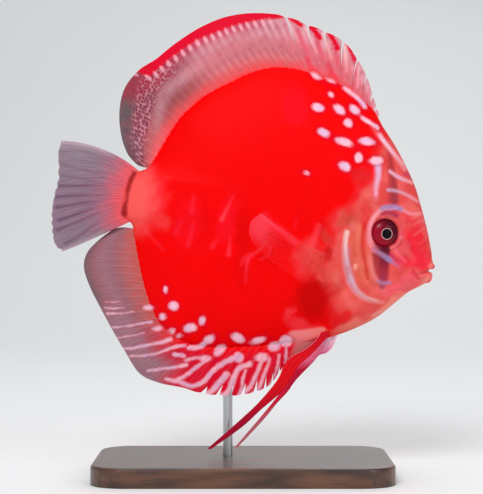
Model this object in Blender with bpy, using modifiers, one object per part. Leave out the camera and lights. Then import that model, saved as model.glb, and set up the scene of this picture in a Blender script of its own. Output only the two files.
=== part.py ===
"""A life-size discus fish as a still display model: it swims with its head a little down, over a plain stand.

The fish faces +X, its left side is +Y and Z is up. Sizes are millimetres. The fish is drawn in its own frame,
whose origin is the middle of its round body, and hangs from an empty at its height over the stand.
"""

from bisect import bisect_right
from math import atan2, cos, degrees, hypot, pi, radians, sin

import bmesh
import bpy
from mathutils import Matrix, Vector

MM = 0.001
GAP = 0.3
WELD, SLACK = 0.00001, 0.01
SHARP_ANGLE = radians(30)
ALL_FRONT, ALL_BEHIND, ALL_WIDE = 80.0, -95.0, 30.0

# The stand, and how high it holds the fish.
BASE_LENGTH, BASE_WIDTH, BASE_THICK = 124.0, 78.0, 8.0
BASE_CORNER, BASE_EDGE = 14.0, 1.2
FISH_FORWARD, FISH_HEIGHT = 21.6, 114.4
ROD_RADIUS, ROD_X, ROD_Y = 2.0, -28.0, 5.2
SOCKET_DEPTH, ROD_TOP = 5.0, -40.0

# The body seen from its side: the snout, the back, the root of the tail, the belly and the chin.
BODY_OUTLINE = [
    (59.0, -26.2), (57.8, -20.5), (55.9, -11.4), (53.2, -1.1), (50.2, 8.4), (45.6, 18.2), (41.4, 25.8),
    (37.2, 32.3), (33.1, 38.8), (26.6, 44.8), (19.8, 49.4), (11.4, 53.2), (1.9, 55.9), (-7.6, 57.0),
    (-17.1, 55.1), (-26.2, 50.9), (-35.3, 46.4), (-41.4, 41.8), (-47.5, 36.1), (-52.1, 29.3),
    (-56.2, 22.4), (-60.8, 15.2), (-66.1, 12.9), (-69.5, 9.1), (-71.1, 3.8), (-71.8, -1.1), (-71.1, -5.7),
    (-67.6, -8.4), (-66.9, -13.3), (-65.7, -20.9), (-63.8, -30.4), (-61.6, -38.4), (-58.9, -45.6),
    (-54.0, -52.8), (-46.4, -57.8), (-36.1, -60.0), (-22.8, -60.0), (-7.6, -58.9), (9.5, -56.6),
    (21.3, -53.8), (29.6, -50.4), (35.3, -47.1), (40.7, -42.9), (47.1, -37.6), (50.5, -35.7),
    (55.1, -33.4), (57.3, -33.1), (58.4, -30.6),
]
SEGMENTS, RINGS = 104, 21
CALM_SPREAD, CALM_STEP, CALM_FROM = 40, 5, 0.4
FULL_HALF, ROUNDNESS, LEAST_HALF = 12.0, 2.25, 0.1
HEAD_POWER, FIN_POWER = 2.0, 1.35
RIM_HALF, HEAD_RIM_HALF, TAIL_RIM_HALF = 1.2, 0.35, 3.2
HEAD_LOW, HEAD_HIGH, HEAD_FADE = -64.0, 40.0, 14.0
TAIL_BEARING, TAIL_NEAR, TAIL_FAR = 177.0, 7.0, 17.0

# The lines that part the body: the nape, the gill opening and the throat, the tail, and the mouth.
NAPE_LINE = [(44.0, 50.0), (36.0, 35.0), (31.5, 22.0), (27.5, 8.0)]
GILL_LINE = [(24.7, -5.7), (21.3, -11.8), (20.1, -17.9), (20.6, -23.6), (21.7, -29.3), (23.9, -34.2),
             (27.7, -38.0), (32.3, -40.7)]
CHEEK_LINE = [(29.6, -7.2), (28.7, -11.0), (28.1, -17.9), (29.0, -25.5), (30.6, -32.4), (34.4, -37.4)]
THROAT_LINE = [(37.2, -43.6), (39.5, -52.0)]
TAIL_LINE = [(-61.0, 24.0), (-59.2, 12.0), (-59.4, 2.0), (-63.0, -8.0), (-70.0, -17.0)]
COVER_PROUD, COVER_DEPTH, COVER_FROM = 0.6, 1.4, 2.0
MOUTH_CORNER, MOUTH_FRONT, JAW_HEEL = (50.2, -29.9), (62.0, -28.2), (46.2, -41.0)
MOUTH_OPEN = 0.9

# The eye, the nostril and the lips.
EYE_CENTRE = (37.9, -12.6)
EYE_RADII, EYE_SINK = (5.3, 3.3, 6.1), 1.6
NOSTRIL, NOSTRIL_RADIUS = (49.2, -9.6), 0.8
LIP_RADIUS, LIP_CORNER = 1.15, 0.55
UPPER_LIP = [(51.4, 5.0, -28.9), (54.8, 4.5, -27.2), (57.3, 2.7, -26.6), (58.2, 0.0, -26.5)]
LOWER_LIP = [(51.2, 4.7, -31.6), (54.4, 4.1, -30.9), (56.5, 2.5, -30.4), (57.3, 0.0, -30.3)]

# The fins, each from rays: the bearing of a ray's root on the body's edge, and the x and z of its tip.
DORSAL = [
    (43.5, 35.9, 37.2), (46.5, 34.6, 41.2), (50.0, 32.9, 46.6), (54.0, 30.6, 53.8), (58.2, 28.2, 58.2),
    (62.4, 26.0, 62.2), (66.7, 20.8, 68.6), (70.4, 13.5, 72.6), (76.2, 5.8, 75.6), (80.5, -2.5, 78.8),
    (87.0, -10.5, 80.1), (96.0, -20.5, 80.2), (106.0, -30.4, 78.4), (117.0, -40.5, 73.8),
    (127.0, -50.5, 67.0), (135.0, -58.0, 60.8), (143.0, -65.4, 56.0), (150.6, -71.4, 48.4),
    (156.5, -73.6, 38.8), (161.0, -72.9, 29.0), (164.0, -70.4, 21.5), (165.4, -67.0, 17.4),
]
ANAL = [
    (281.5, 8.6, -58.6), (278.0, 4.6, -61.6), (273.0, -1.4, -64.4), (268.0, -6.5, -71.5),
    (264.0, -10.2, -76.8), (260.5, -15.5, -79.6), (256.5, -23.6, -81.4), (252.5, -32.0, -81.6),
    (249.0, -39.6, -80.4), (245.0, -46.5, -77.6), (238.4, -57.0, -75.3), (232.5, -65.2, -71.2),
    (226.9, -71.4, -61.6), (221.0, -76.6, -52.8), (215.6, -81.2, -44.4), (209.0, -86.0, -35.0),
    (203.0, -88.6, -27.0), (197.5, -87.4, -20.8), (192.5, -82.8, -15.6), (189.6, -76.4, -10.8),
]
CAUDAL = [
    (168.6, -98.4, 26.7), (169.8, -99.8, 22.4), (171.4, -99.7, 16.0), (173.2, -99.8, 9.8),
    (175.2, -101.3, 4.2), (177.2, -102.4, -1.5), (179.2, -102.6, -7.0), (181.3, -102.3, -12.5),
    (183.6, -101.2, -17.3), (185.8, -97.8, -20.1),
]
PECTORAL_ROOT = [(15.6, -21.6), (15.2, -27.0), (14.0, -32.6)]
PECTORAL = [
    (0.0, -14.0, -4.4), (0.16, -18.0, -7.4), (0.36, -19.0, -12.4), (0.56, -16.8, -17.4),
    (0.76, -10.5, -23.6), (0.9, -2.5, -29.2), (1.0, 5.5, -33.2),
]
PELVIC_RIGHT_FRONT = [(15.2, -51.3), (14.4, -55.9), (11.8, -59.7), (8.0, -63.5), (1.1, -71.1), (-5.3, -78.7),
                      (-14.1, -86.3), (-22.4, -93.9), (-35.2, -103.0)]
PELVIC_RIGHT_REAR = [(11.8, -52.1), (9.9, -55.9), (6.8, -59.3), (3.0, -61.9), (-1.1, -63.8), (-4.6, -68.0),
                     (-7.2, -73.7), (-14.4, -82.5), (-22.6, -90.4), (-36.4, -102.6)]
PELVIC_LEFT_FRONT = [(19.0, -51.3), (18.5, -55.0), (16.5, -59.9), (13.7, -62.9), (10.8, -63.9), (7.6, -67.4),
                     (0.8, -74.5), (-2.7, -79.4), (-7.2, -84.2), (-13.3, -91.6), (-24.0, -102.9)]
PELVIC_LEFT_REAR = [(14.2, -51.3), (13.6, -55.0), (10.2, -60.4), (5.0, -65.6), (-0.6, -73.0), (-5.6, -80.2),
                    (-14.4, -90.6), (-25.0, -102.7)]
SPINE_END, ANAL_SPINE_END = 83.0, 250.0
DORSAL_SPINES, DORSAL_RAYS, ANAL_SPINES, ANAL_RAYS = 9, 26, 8, 24
CAUDAL_RAYS, PECTORAL_RAYS, PELVIC_RAYS = 14, 10, 3

# How thick the fins are, and how their spines, notches and ridges lie.
FIN_EDGE_HALF, FIN_TAPER, SPINE_RIDGE, RAY_RIDGE = 0.27, 1.6, 0.5, 0.4
RIDGE_FROM, RIDGE_FADE = 0.15, 0.55
NOTCH_DEPTH, LAPPET_GAP, SPINE_PLACE, SPINE_WIDTH = 0.3, 0.1, 0.5, 0.14
TAIL_FIN_HALF, PECTORAL_HALF = 2.8, 0.9
PELVIC_HALF, PELVIC_ROOT, PELVIC_SPINE = 0.3, 0.65, 0.25

# How the fins bow and wave: a bow is a sideways swing of the rays, a wave is its size and its turns.
SPINY_BOW, SOFT_BOW = 0.8, 1.0
WAVE_GROWS, DORSAL_WAVE, ANAL_WAVE = 30.0, (2.0, 5.0), (1.8, 4.5)
TAIL_BOW_UPPER, TAIL_BOW_LOWER = -3.2, 0.4
TAIL_SWING, TAIL_WAVE = 2.4, (0.7, 20.0)
PECTORAL_BOW, PECTORAL_WAVE = Vector((0.65, -2.6)), (0.5, 9.0)
PECTORAL_SINK, PECTORAL_CLEAR, PECTORAL_SPREAD = -1.0, 2.4, 5.5
PELVIC_APART, PELVIC_RIGHT_APART, PELVIC_LEFT_APART, PELVIC_CLOSE, PELVIC_TURN = 2.2, 4.6, 2.9, 0.9, 0.5

FLESH_RED, FIN_PINK, FIN_RED = (0.85, 0.02, 0.02, 1), (0.55, 0.22, 0.26, 1), (0.6, 0.02, 0.06, 1)
TAIL_GREY, IRIS_RED = (0.32, 0.26, 0.34, 1), (0.22, 0.0, 0.02, 1)
BASE_BLACK, ROD_STEEL = (0.02, 0.02, 0.022, 1), (0.55, 0.56, 0.58, 1)


def clear_scene():
    for obj in list(bpy.data.objects):
        bpy.data.objects.remove(obj)


def smoothstep(low, high, value):
    share = min(1.0, max(0.0, (value - low) / (high - low)))
    return share * share * (3 - 2 * share)


def curve_between(a, b, c, d, t):
    """A Catmull-Rom curve from b to c, at share t."""
    return 0.5 * (2 * b + (c - a) * t + (2 * a - 5 * b + 4 * c - d) * t * t + (3 * b - a - 3 * c + d) * t**3)


def smooth_line(points, closed=False, steps=6):
    """Points along a smooth curve that passes through the given ones."""
    count = len(points)
    line = []
    for i in range(count if closed else count - 1):
        near = [(i + k) % count if closed else min(max(i + k, 0), count - 1) for k in (-1, 0, 1, 2)]
        a, b, c, d = (Vector(points[n]) for n in near)
        line += [curve_between(a, b, c, d, step / steps) for step in range(steps)]
    if not closed:
        line.append(Vector(points[-1]))
    return line


class Table:
    """Rows whose first value is a rising key; the other values are read smoothly at any key."""

    def __init__(self, rows):
        self.rows = sorted(rows)
        self.keys = [row[0] for row in self.rows]

    def at(self, key):
        last = len(self.rows) - 1
        i = min(max(bisect_right(self.keys, key) - 1, 0), last - 1)
        near = [Vector(self.rows[min(max(i + k, 0), last)][1:]) for k in (-1, 0, 1, 2)]
        span = self.keys[i + 1] - self.keys[i]
        return curve_between(*near, min(max((key - self.keys[i]) / span, 0.0), 1.0))


def line_table(points):
    """A line as a table whose key is the share of its length."""
    line = smooth_line(points)
    reach = [0.0]
    for a, b in zip(line, line[1:]):
        reach.append(reach[-1] + (b - a).length)
    return Table([(r / reach[-1], *p) for r, p in zip(reach, line)])


def outline_table(points):
    """A closed outline round the origin as a table of bearing and radius."""
    polar = []
    for p in smooth_line(points, closed=True):
        polar.append((degrees(atan2(p.y, p.x)) % 360, p.length, 0.0))
    polar.sort()
    before = [(b - 360, r, z) for b, r, z in polar[-3:]]
    after = [(b + 360, r, z) for b, r, z in polar[:3]]
    return Table(before + polar + after)


BODY = outline_table(BODY_OUTLINE)


def edge_radius(bearing):
    return BODY.at(bearing % 360).x


def calm_radius(bearing):
    """The edge's radius with its short bumps evened out, for the middle of the flank."""
    near = range(-CALM_SPREAD, CALM_SPREAD + 1, CALM_STEP)
    return sum(edge_radius(bearing + turn) for turn in near) / len(near)


CALM = Table([(bearing, calm_radius(bearing), 0.0) for bearing in range(-4, 365, 4)])


def on_edge(bearing, grow=0.0):
    """A place on the body's edge, or just outside it, seen from its side."""
    radius = edge_radius(bearing) + grow
    return Vector((radius * cos(radians(bearing)), radius * sin(radians(bearing))))


def turn_from(bearing, other):
    """The turn from one bearing to another, from -180 to 180 degrees."""
    return (bearing - other + 180) % 360 - 180


def head_share(bearing):
    """1 where the body's edge is the head's own round profile, 0 where a fin grows from it."""
    turn = turn_from(bearing, 0)
    low = smoothstep(HEAD_LOW - HEAD_FADE, HEAD_LOW, turn)
    return low * (1 - smoothstep(HEAD_HIGH, HEAD_HIGH + HEAD_FADE, turn))


def rim_half(bearing):
    """Half the body's thickness along its very edge."""
    tail = 1 - smoothstep(TAIL_NEAR, TAIL_FAR, abs(turn_from(bearing, TAIL_BEARING)))
    plain = RIM_HALF + (HEAD_RIM_HALF - RIM_HALF) * head_share(bearing)
    return plain + (TAIL_RIM_HALF - plain) * tail


def half_thickness(x, z, grow=0.0):
    """Half the body's thickness at a place on its side, or of a body grown all round."""
    bearing = degrees(atan2(z, x)) % 360
    share = min(1.0, hypot(x, z) / (edge_radius(bearing) + grow))
    calm = hypot(x, z) / (CALM.at(bearing).x + grow)
    share = min(1.0, calm + (share - calm) * smoothstep(CALM_FROM, 1.0, share))
    power = FIN_POWER + (HEAD_POWER - FIN_POWER) * head_share(bearing)
    rim = rim_half(bearing)
    return max(LEAST_HALF, rim + (FULL_HALF - rim) * (1 - share**ROUNDNESS) ** (1 / power) + grow)


def flank_point(x, z, out=0.0):
    """A point on the right flank, or out from it."""
    return Vector((x, -(half_thickness(x, z) + out), z))


def flank_turn(x, z):
    """The turn that lays -Y along the right flank's outward normal."""
    step = 0.5
    along = flank_point(x + step, z) - flank_point(x - step, z)
    up = flank_point(x, z + step) - flank_point(x, z - step)
    outward = along.cross(up).normalized()
    return Vector((0, -1, 0)).rotation_difference(outward).to_matrix().to_4x4()


def material(name, colour, roughness, metallic=0.0):
    made = bpy.data.materials.new(name)
    made.use_nodes = True
    shader = made.node_tree.nodes["Principled BSDF"]
    shader.inputs["Base Color"].default_value = colour
    shader.inputs["Roughness"].default_value = roughness
    shader.inputs["Metallic"].default_value = metallic
    return made


def object_from(name, work, collection, finish=None):
    """A named object from a bmesh whose points are in millimetres."""
    bmesh.ops.scale(work, vec=(MM, MM, MM), verts=work.verts)
    mesh = bpy.data.meshes.new(name)
    work.to_mesh(mesh)
    work.free()
    if finish:
        mesh.materials.append(finish)
    obj = bpy.data.objects.new(name, mesh)
    collection.objects.link(obj)
    return obj


def as_cutter(obj):
    obj.hide_render = True
    obj.display_type = "WIRE"
    return obj


def apply_modifiers(obj):
    graph = bpy.context.evaluated_depsgraph_get()
    mesh = bpy.data.meshes.new_from_object(obj.evaluated_get(graph))
    obj.modifiers.clear()
    obj.data = mesh
    return obj


def keep_largest(obj):
    """Leaves only the closed surface with the most room inside, and drops loose scraps."""
    work = bmesh.new()
    work.from_mesh(obj.data)
    left, shells = set(work.verts), []
    while left:
        shell, queue = set(), [left.pop()]
        while queue:
            vert = queue.pop()
            shell.add(vert)
            for edge in vert.link_edges:
                other = edge.other_vert(vert)
                if other in left:
                    left.discard(other)
                    queue.append(other)
        shells.append(shell)

    def room(shell):
        faces = {face for vert in shell for face in vert.link_faces}
        return sum(face.calc_area() * face.calc_center_median().dot(face.normal) for face in faces)

    keep = max(shells, key=room)
    bmesh.ops.delete(work, geom=[v for v in work.verts if v not in keep], context="VERTS")
    work.to_mesh(obj.data)
    work.free()
    return obj


def combine(obj, operation, *others):
    """Cuts, keeps or joins with each of the others in turn, and applies the result."""
    for other in others:
        modifier = obj.modifiers.new("shape", "BOOLEAN")
        modifier.operation = operation
        modifier.solver = "EXACT"
        modifier.object = other
        apply_modifiers(obj)
    return keep_largest(obj)


def copied(obj, name, collection, finish=None):
    copy = bpy.data.objects.new(name, obj.data.copy())
    if finish:
        copy.data.materials.append(finish)
    collection.objects.link(copy)
    return copy


def mirrored(obj, name, collection):
    """The same piece on the fish's other side."""
    copy = copied(obj, name, collection)
    copy.data.transform(Matrix.Diagonal((1, -1, 1, 1)))
    copy.data.flip_normals()
    return copy


def body_form(name, collection, grow=0.0):
    """The whole body: a sphere whose every point is moved out to the body's own edge and thickness."""
    work = bmesh.new()
    bmesh.ops.create_uvsphere(work, u_segments=SEGMENTS, v_segments=RINGS, radius=1.0)
    widest = max(hypot(vert.co.x, vert.co.y) for vert in work.verts)
    for vert in work.verts:
        share = hypot(vert.co.x, vert.co.y) / widest
        side = 1 if vert.co.z < 0 else -1
        bearing = degrees(atan2(vert.co.y, vert.co.x))
        spot = on_edge(bearing, grow) * share
        vert.co = (spot.x, side * half_thickness(spot.x, spot.y, grow), spot.y)
    return as_cutter(object_from(name, work, collection))


def block(name, outline, collection, low=-ALL_WIDE, high=ALL_WIDE):
    """A straight-sided block across the fish, from an outline seen from its side."""
    curve = bpy.data.curves.new(name, "CURVE")
    curve.dimensions = "2D"
    curve.fill_mode = "BOTH"
    curve.extrude = (high - low) / 2 * MM
    spline = curve.splines.new("POLY")
    spline.points.add(len(outline) - 1)
    for point, (x, z) in zip(spline.points, outline):
        point.co = (x * MM, z * MM, 0, 1)
    spline.use_cyclic_u = True
    drawn = bpy.data.objects.new(name + "_outline", curve)
    collection.objects.link(drawn)
    mesh = bpy.data.meshes.new_from_object(drawn.evaluated_get(bpy.context.evaluated_depsgraph_get()))
    bpy.data.objects.remove(drawn)
    work = bmesh.new()
    work.from_mesh(mesh)
    bmesh.ops.remove_doubles(work, verts=work.verts, dist=WELD)
    bmesh.ops.rotate(work, verts=work.verts, matrix=Matrix.Rotation(pi / 2, 3, "X"))
    bmesh.ops.translate(work, verts=work.verts, vec=(0, (low + high) / 2 * MM, 0))
    bmesh.ops.recalc_face_normals(work, faces=work.faces)
    bmesh.ops.scale(work, vec=(1 / MM, 1 / MM, 1 / MM), verts=work.verts)
    return as_cutter(object_from(name, work, collection))


def shifted(line, distance, closed=False):
    """A line moved sideways, to the left of its direction."""
    moved, count = [], len(line)
    for i, point in enumerate(line):
        before = line[i - 1] if closed or i else line[0]
        after = line[(i + 1) % count] if closed or i < count - 1 else line[-1]
        along = (Vector(after) - Vector(before)).normalized()
        moved.append((point[0] - along.y * distance, point[1] + along.x * distance))
    return moved


def head_edge():
    """The line behind the head, down from the nape, and the stretch of it along the gill opening."""
    line = smooth_line(NAPE_LINE + GILL_LINE + THROAT_LINE, steps=3)
    first = 3 * len(NAPE_LINE)
    return line, line[first:first + 3 * (len(GILL_LINE) - 1) + 1]


def head_block(name, grow, collection):
    """Everything ahead of the gill opening."""
    line = shifted(head_edge()[0], -grow)
    return block(name, line + [(ALL_FRONT, line[-1][1]), (ALL_FRONT, line[0][1])], collection)


def tail_block(name, grow, collection):
    line = shifted(smooth_line(TAIL_LINE, steps=3), grow)
    return block(name, line + [(ALL_BEHIND, line[-1][1]), (ALL_BEHIND, line[0][1])], collection)


def jaw_block(name, grow, collection):
    """The lower jaw, below a mouth that is a little open."""
    corner = (MOUTH_CORNER[0] - grow, MOUTH_CORNER[1] + grow)
    heel = (JAW_HEEL[0] - grow, JAW_HEEL[1])
    front = (MOUTH_FRONT[0], MOUTH_FRONT[1] + (MOUTH_OPEN if grow else 0.0))
    return block(name, [corner, heel, (MOUTH_FRONT[0], JAW_HEEL[1]), front], collection)


def ellipsoid(name, centre, radii, turn, collection, segments=18, rings=10):
    work = bmesh.new()
    bmesh.ops.create_uvsphere(work, u_segments=segments, v_segments=rings, radius=1.0)
    bmesh.ops.rotate(work, verts=work.verts, matrix=Matrix.Rotation(pi / 2, 3, "X"))
    shape = Matrix.Translation(centre) @ turn @ Matrix.Diagonal((*radii, 1))
    bmesh.ops.transform(work, matrix=shape, verts=work.verts)
    return object_from(name, work, collection)


def lip(name, half_line, collection):
    """A round lip from one corner of the mouth to the other."""
    line = smooth_line(half_line, steps=3)
    line += [Vector((p.x, -p.y, p.z)) for p in reversed(line[:-1])]
    curve = bpy.data.curves.new(name, "CURVE")
    curve.dimensions = "3D"
    curve.bevel_depth = LIP_RADIUS * MM
    curve.bevel_resolution = 2
    curve.use_fill_caps = True
    spline = curve.splines.new("POLY")
    spline.points.add(len(line) - 1)
    for i, (point, spot) in enumerate(zip(spline.points, line)):
        point.co = (*(spot * MM), 1)
        point.radius = LIP_CORNER + (1 - LIP_CORNER) * sin(pi * i / (len(line) - 1))
    drawn = bpy.data.objects.new(name + "_line", curve)
    collection.objects.link(drawn)
    mesh = bpy.data.meshes.new_from_object(drawn.evaluated_get(bpy.context.evaluated_depsgraph_get()))
    bpy.data.objects.remove(drawn)
    work = bmesh.new()
    work.from_mesh(mesh)
    bmesh.ops.remove_doubles(work, verts=work.verts, dist=WELD)
    bmesh.ops.recalc_face_normals(work, faces=work.faces)
    bmesh.ops.scale(work, vec=(1 / MM, 1 / MM, 1 / MM), verts=work.verts)
    return as_cutter(object_from(name, work, collection))


def sheet(name, across, rows, surface, half, collection, finish):
    """A thin fin: a grid laid on a surface, thickened alike to both sides, with each ray as a ridge.

    across lists (share, kind) for the columns, surface(share, kind, v) gives a point in millimetres, and
    half(share, kind, v) gives half the fin's thickness there.
    """
    work = bmesh.new()
    columns = len(across) - 1
    bmesh.ops.create_grid(work, x_segments=columns, y_segments=rows, size=0.5)
    weights = work.verts.layers.deform.verify()
    most = max(half(u, kind, j / rows) for u, kind in across for j in range(rows + 1))
    for vert in work.verts:
        u, kind = across[round((vert.co.x + 0.5) * columns)]
        v = round((vert.co.y + 0.5) * rows) / rows
        vert.co = surface(u, kind, v)
        vert[weights][0] = half(u, kind, v) / most
    bmesh.ops.triangulate(work, faces=work.faces, quad_method="SHORT_EDGE")
    obj = object_from(name, work, collection, finish)
    obj.vertex_groups.new(name="thickness")
    solid = obj.modifiers.new("thickness", "SOLIDIFY")
    solid.thickness = 2 * most * MM
    solid.offset = 0
    solid.vertex_group = "thickness"
    solid.thickness_vertex_group = 0
    apply_modifiers(obj)
    work = bmesh.new()
    work.from_mesh(obj.data)
    bmesh.ops.recalc_face_normals(work, faces=work.faces)
    work.to_mesh(obj.data)
    work.free()
    return obj


def ray_columns(count, low, high):
    """Columns over a soft fin: a web between each two rays, and a ridge along each ray."""
    step = (high - low) / count
    columns = []
    for i in range(count):
        columns += [(low + i * step, "web"), (low + (i + 0.5) * step, "ray")]
    return columns + [(high, "web")]


def spine_columns(count, low, high):
    """Columns over a spiny fin: a notch between each two spines, and a ridge along each spine."""
    step = (high - low) / count
    columns = [(low, "web")]
    for i in range(count):
        start = low + i * step
        if i:
            columns += [(start, "notch"), (start + step * LAPPET_GAP, "web")]
        spine = start + step * SPINE_PLACE
        side = step * SPINE_WIDTH
        columns += [(spine - side, "web"), (spine, "spine"), (spine + side, "web")]
        if i < count - 1:
            columns.append((start + step * (1 - LAPPET_GAP), "web"))
    return columns + [(high, "web")]


def fin_half(kind, v, root_half):
    """Half a fin's thickness: thick at its root, thin at its edge, with ridges that fade outwards."""
    plain = FIN_EDGE_HALF + (root_half - FIN_EDGE_HALF) * (1 - v) ** FIN_TAPER
    ridge = {"spine": SPINE_RIDGE, "ray": RAY_RIDGE}.get(kind, 0.0)
    return plain + ridge * smoothstep(0.0, RIDGE_FROM, v) * (1 - RIDGE_FADE * v)


def edge_fin(name, rays, columns, rows, collection, finish, bow, sway, root_half):
    """A fin in the fish's middle plane, which grows from the edge of the body."""
    table = Table(rays)

    def surface(bearing, kind, v):
        root = on_edge(bearing, GAP)
        tip = table.at(bearing)
        reach = v * (1 - NOTCH_DEPTH) if kind == "notch" else v
        spot = root.lerp(tip, reach)
        side = Vector((root.y - tip.y, tip.x - root.x)).normalized()
        spot = spot + side * bow(bearing) * 4 * reach * (1 - reach)
        return (spot.x, sway(bearing, reach), spot.y)

    def half(bearing, kind, v):
        return fin_half(kind, v, root_half)

    return sheet(name, columns, rows, surface, half, collection, finish)


def still(bearing, v):
    return 0.0


def soft_wave(start, size, turns):
    """A slow sideways wave towards a soft fin's edge, from nothing where its spines end."""
    def sway(bearing, v):
        grown = smoothstep(0, WAVE_GROWS, abs(turn_from(bearing, start)))
        return size * grown * v * v * sin(radians(bearing - start) * turns)
    return sway


def median_fins(parts, finish, tail_finish):
    split = degrees(GAP / 2 / edge_radius(SPINE_END))
    low, high = DORSAL[0][0], DORSAL[-1][0]
    wave = soft_wave(SPINE_END, *DORSAL_WAVE)
    edge_fin("dorsal_fin_spiny", DORSAL, spine_columns(DORSAL_SPINES, low, SPINE_END - split), 4, parts,
             finish, lambda b: SPINY_BOW, still, RIM_HALF)
    edge_fin("dorsal_fin_soft", DORSAL, ray_columns(DORSAL_RAYS, SPINE_END + split, high), 5, parts, finish,
             lambda b: SOFT_BOW, wave, RIM_HALF)
    low, high = ANAL[-1][0], ANAL[0][0]
    wave = soft_wave(ANAL_SPINE_END, *ANAL_WAVE)
    edge_fin("anal_fin_spiny", ANAL, spine_columns(ANAL_SPINES, ANAL_SPINE_END + split, high), 4, parts,
             finish, lambda b: -SPINY_BOW, still, RIM_HALF)
    edge_fin("anal_fin_soft", ANAL, ray_columns(ANAL_RAYS, low, ANAL_SPINE_END - split), 5, parts, finish,
             lambda b: -SOFT_BOW, wave, RIM_HALF)
    first, last = CAUDAL[0][0], CAUDAL[-1][0]
    middle = (first + last) / 2

    def tail_bow(bearing):
        share = (bearing - first) / (last - first)
        return TAIL_BOW_UPPER + (TAIL_BOW_LOWER - TAIL_BOW_UPPER) * share

    def tail_sway(bearing, v):
        size, turns = TAIL_WAVE
        return v * v * (TAIL_SWING + size * sin(radians(bearing - middle) * turns))

    edge_fin("caudal_fin", CAUDAL, ray_columns(CAUDAL_RAYS, first, last), 6, parts, tail_finish, tail_bow,
             tail_sway, TAIL_FIN_HALF)


def pectoral_fin(parts, grown_body, finish):
    """The right fan behind the gill opening: it leaves the flank and spreads back and a little out."""
    roots, tips = line_table(PECTORAL_ROOT), Table(PECTORAL)
    size, turns = PECTORAL_WAVE

    def surface(u, kind, v):
        spot = roots.at(u).lerp(tips.at(u), v) + PECTORAL_BOW * (1 - u) * 4 * v * (1 - v)
        clear = PECTORAL_SINK + PECTORAL_CLEAR * smoothstep(0, 0.12, v)
        return tuple(flank_point(spot.x, spot.y, clear + v * (PECTORAL_SPREAD + size * sin(u * turns))))

    fin = sheet("pectoral_fin_right", ray_columns(PECTORAL_RAYS, 0.0, 1.0), 6, surface,
                lambda u, kind, v: fin_half(kind, v, PECTORAL_HALF), parts, finish)
    combine(fin, "DIFFERENCE", grown_body)
    mirrored(fin, "pectoral_fin_left", parts)


def pelvic_fin(name, front, rear, side, apart, parts, grown_body, finish):
    """A long fin under the breast, from its strong front spine to a trailing thread."""
    front, rear = line_table(front), line_table(rear)

    def surface(u, kind, v):
        spot = front.at(v).lerp(rear.at(v), u)
        out = PELVIC_APART + (apart - PELVIC_APART) * smoothstep(0.02, 0.35, v)
        out -= PELVIC_CLOSE * smoothstep(0.5, 1.0, v)
        return (spot.x, side * (out + PELVIC_TURN * u * sin(pi * v)), spot.y)

    def half(u, kind, v):
        ridge = RAY_RIDGE if kind == "ray" else 0.0
        return PELVIC_HALF + PELVIC_ROOT * (1 - v) ** 2 + (ridge + PELVIC_SPINE * (1 - u)) * (1 - v)

    fin = sheet(name, ray_columns(PELVIC_RAYS, 0.0, 1.0), 20, surface, half, parts, finish)
    combine(fin, "DIFFERENCE", grown_body)


def gill_covers(parts, cutters, finish):
    """The thin plate over the gills on each side, and the pocket in the head that it lies in."""
    outer = body_form("cover_outside", cutters, COVER_PROUD)
    inner = body_form("cover_inside", cutters, -COVER_DEPTH)
    deep = body_form("pocket_floor", cutters, -COVER_DEPTH - GAP)
    outline = head_edge()[1] + list(reversed(smooth_line(CHEEK_LINE, steps=2)))
    cover = combine(copied(outer, "gill_cover_right", parts, finish), "INTERSECT",
                    block("cover_block", outline, cutters, high=-COVER_FROM))
    combine(cover, "DIFFERENCE", inner)
    mirrored(cover, "gill_cover_left", parts)
    pocket = block("pocket_right", shifted(outline, -GAP, closed=True), cutters, high=-COVER_FROM)
    combine(pocket, "DIFFERENCE", deep)
    return pocket, as_cutter(mirrored(pocket, "pocket_left", cutters))


def eyes(parts, cutters, finish):
    """An eye on each side that bulges a little from its socket."""
    turn = flank_turn(*EYE_CENTRE)
    middle = flank_point(*EYE_CENTRE) + (turn @ Vector((0, 1, 0))) * EYE_SINK
    eye = ellipsoid("eye_right", middle, EYE_RADII, turn, parts)
    eye.data.materials.append(finish)
    mirrored(eye, "eye_left", parts)
    wide = tuple(radius + GAP for radius in EYE_RADII)
    socket = as_cutter(ellipsoid("socket_right", middle, wide, turn, cutters))
    return socket, as_cutter(mirrored(socket, "socket_left", cutters))


def body_parts(parts, cutters, flesh, iris):
    """The head with its lower jaw and gill covers, the round trunk and the root of the tail."""
    whole = body_form("body_whole", cutters)
    head = combine(copied(whole, "head", parts, flesh), "INTERSECT", head_block("head_block", 0.0, cutters))
    jaw = combine(copied(head, "lower_jaw", parts), "INTERSECT", jaw_block("jaw_block", 0.0, cutters))
    combine(jaw, "UNION", lip("lower_lip", LOWER_LIP, cutters))
    nostril = as_cutter(ellipsoid("nostril_right", flank_point(*NOSTRIL), (NOSTRIL_RADIUS,) * 3,
                                  Matrix.Identity(4), cutters, 10, 6))
    combine(head, "DIFFERENCE", jaw_block("jaw_room", GAP, cutters))
    combine(head, "UNION", lip("upper_lip", UPPER_LIP, cutters))
    combine(head, "DIFFERENCE", *gill_covers(parts, cutters, flesh), *eyes(parts, cutters, iris), nostril,
            as_cutter(mirrored(nostril, "nostril_left", cutters)))
    combine(copied(whole, "torso", parts, flesh), "DIFFERENCE", head_block("head_room", GAP, cutters),
            tail_block("tail_room", GAP, cutters))
    combine(copied(whole, "peduncle", parts, flesh), "INTERSECT", tail_block("tail_block", 0.0, cutters))


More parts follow.
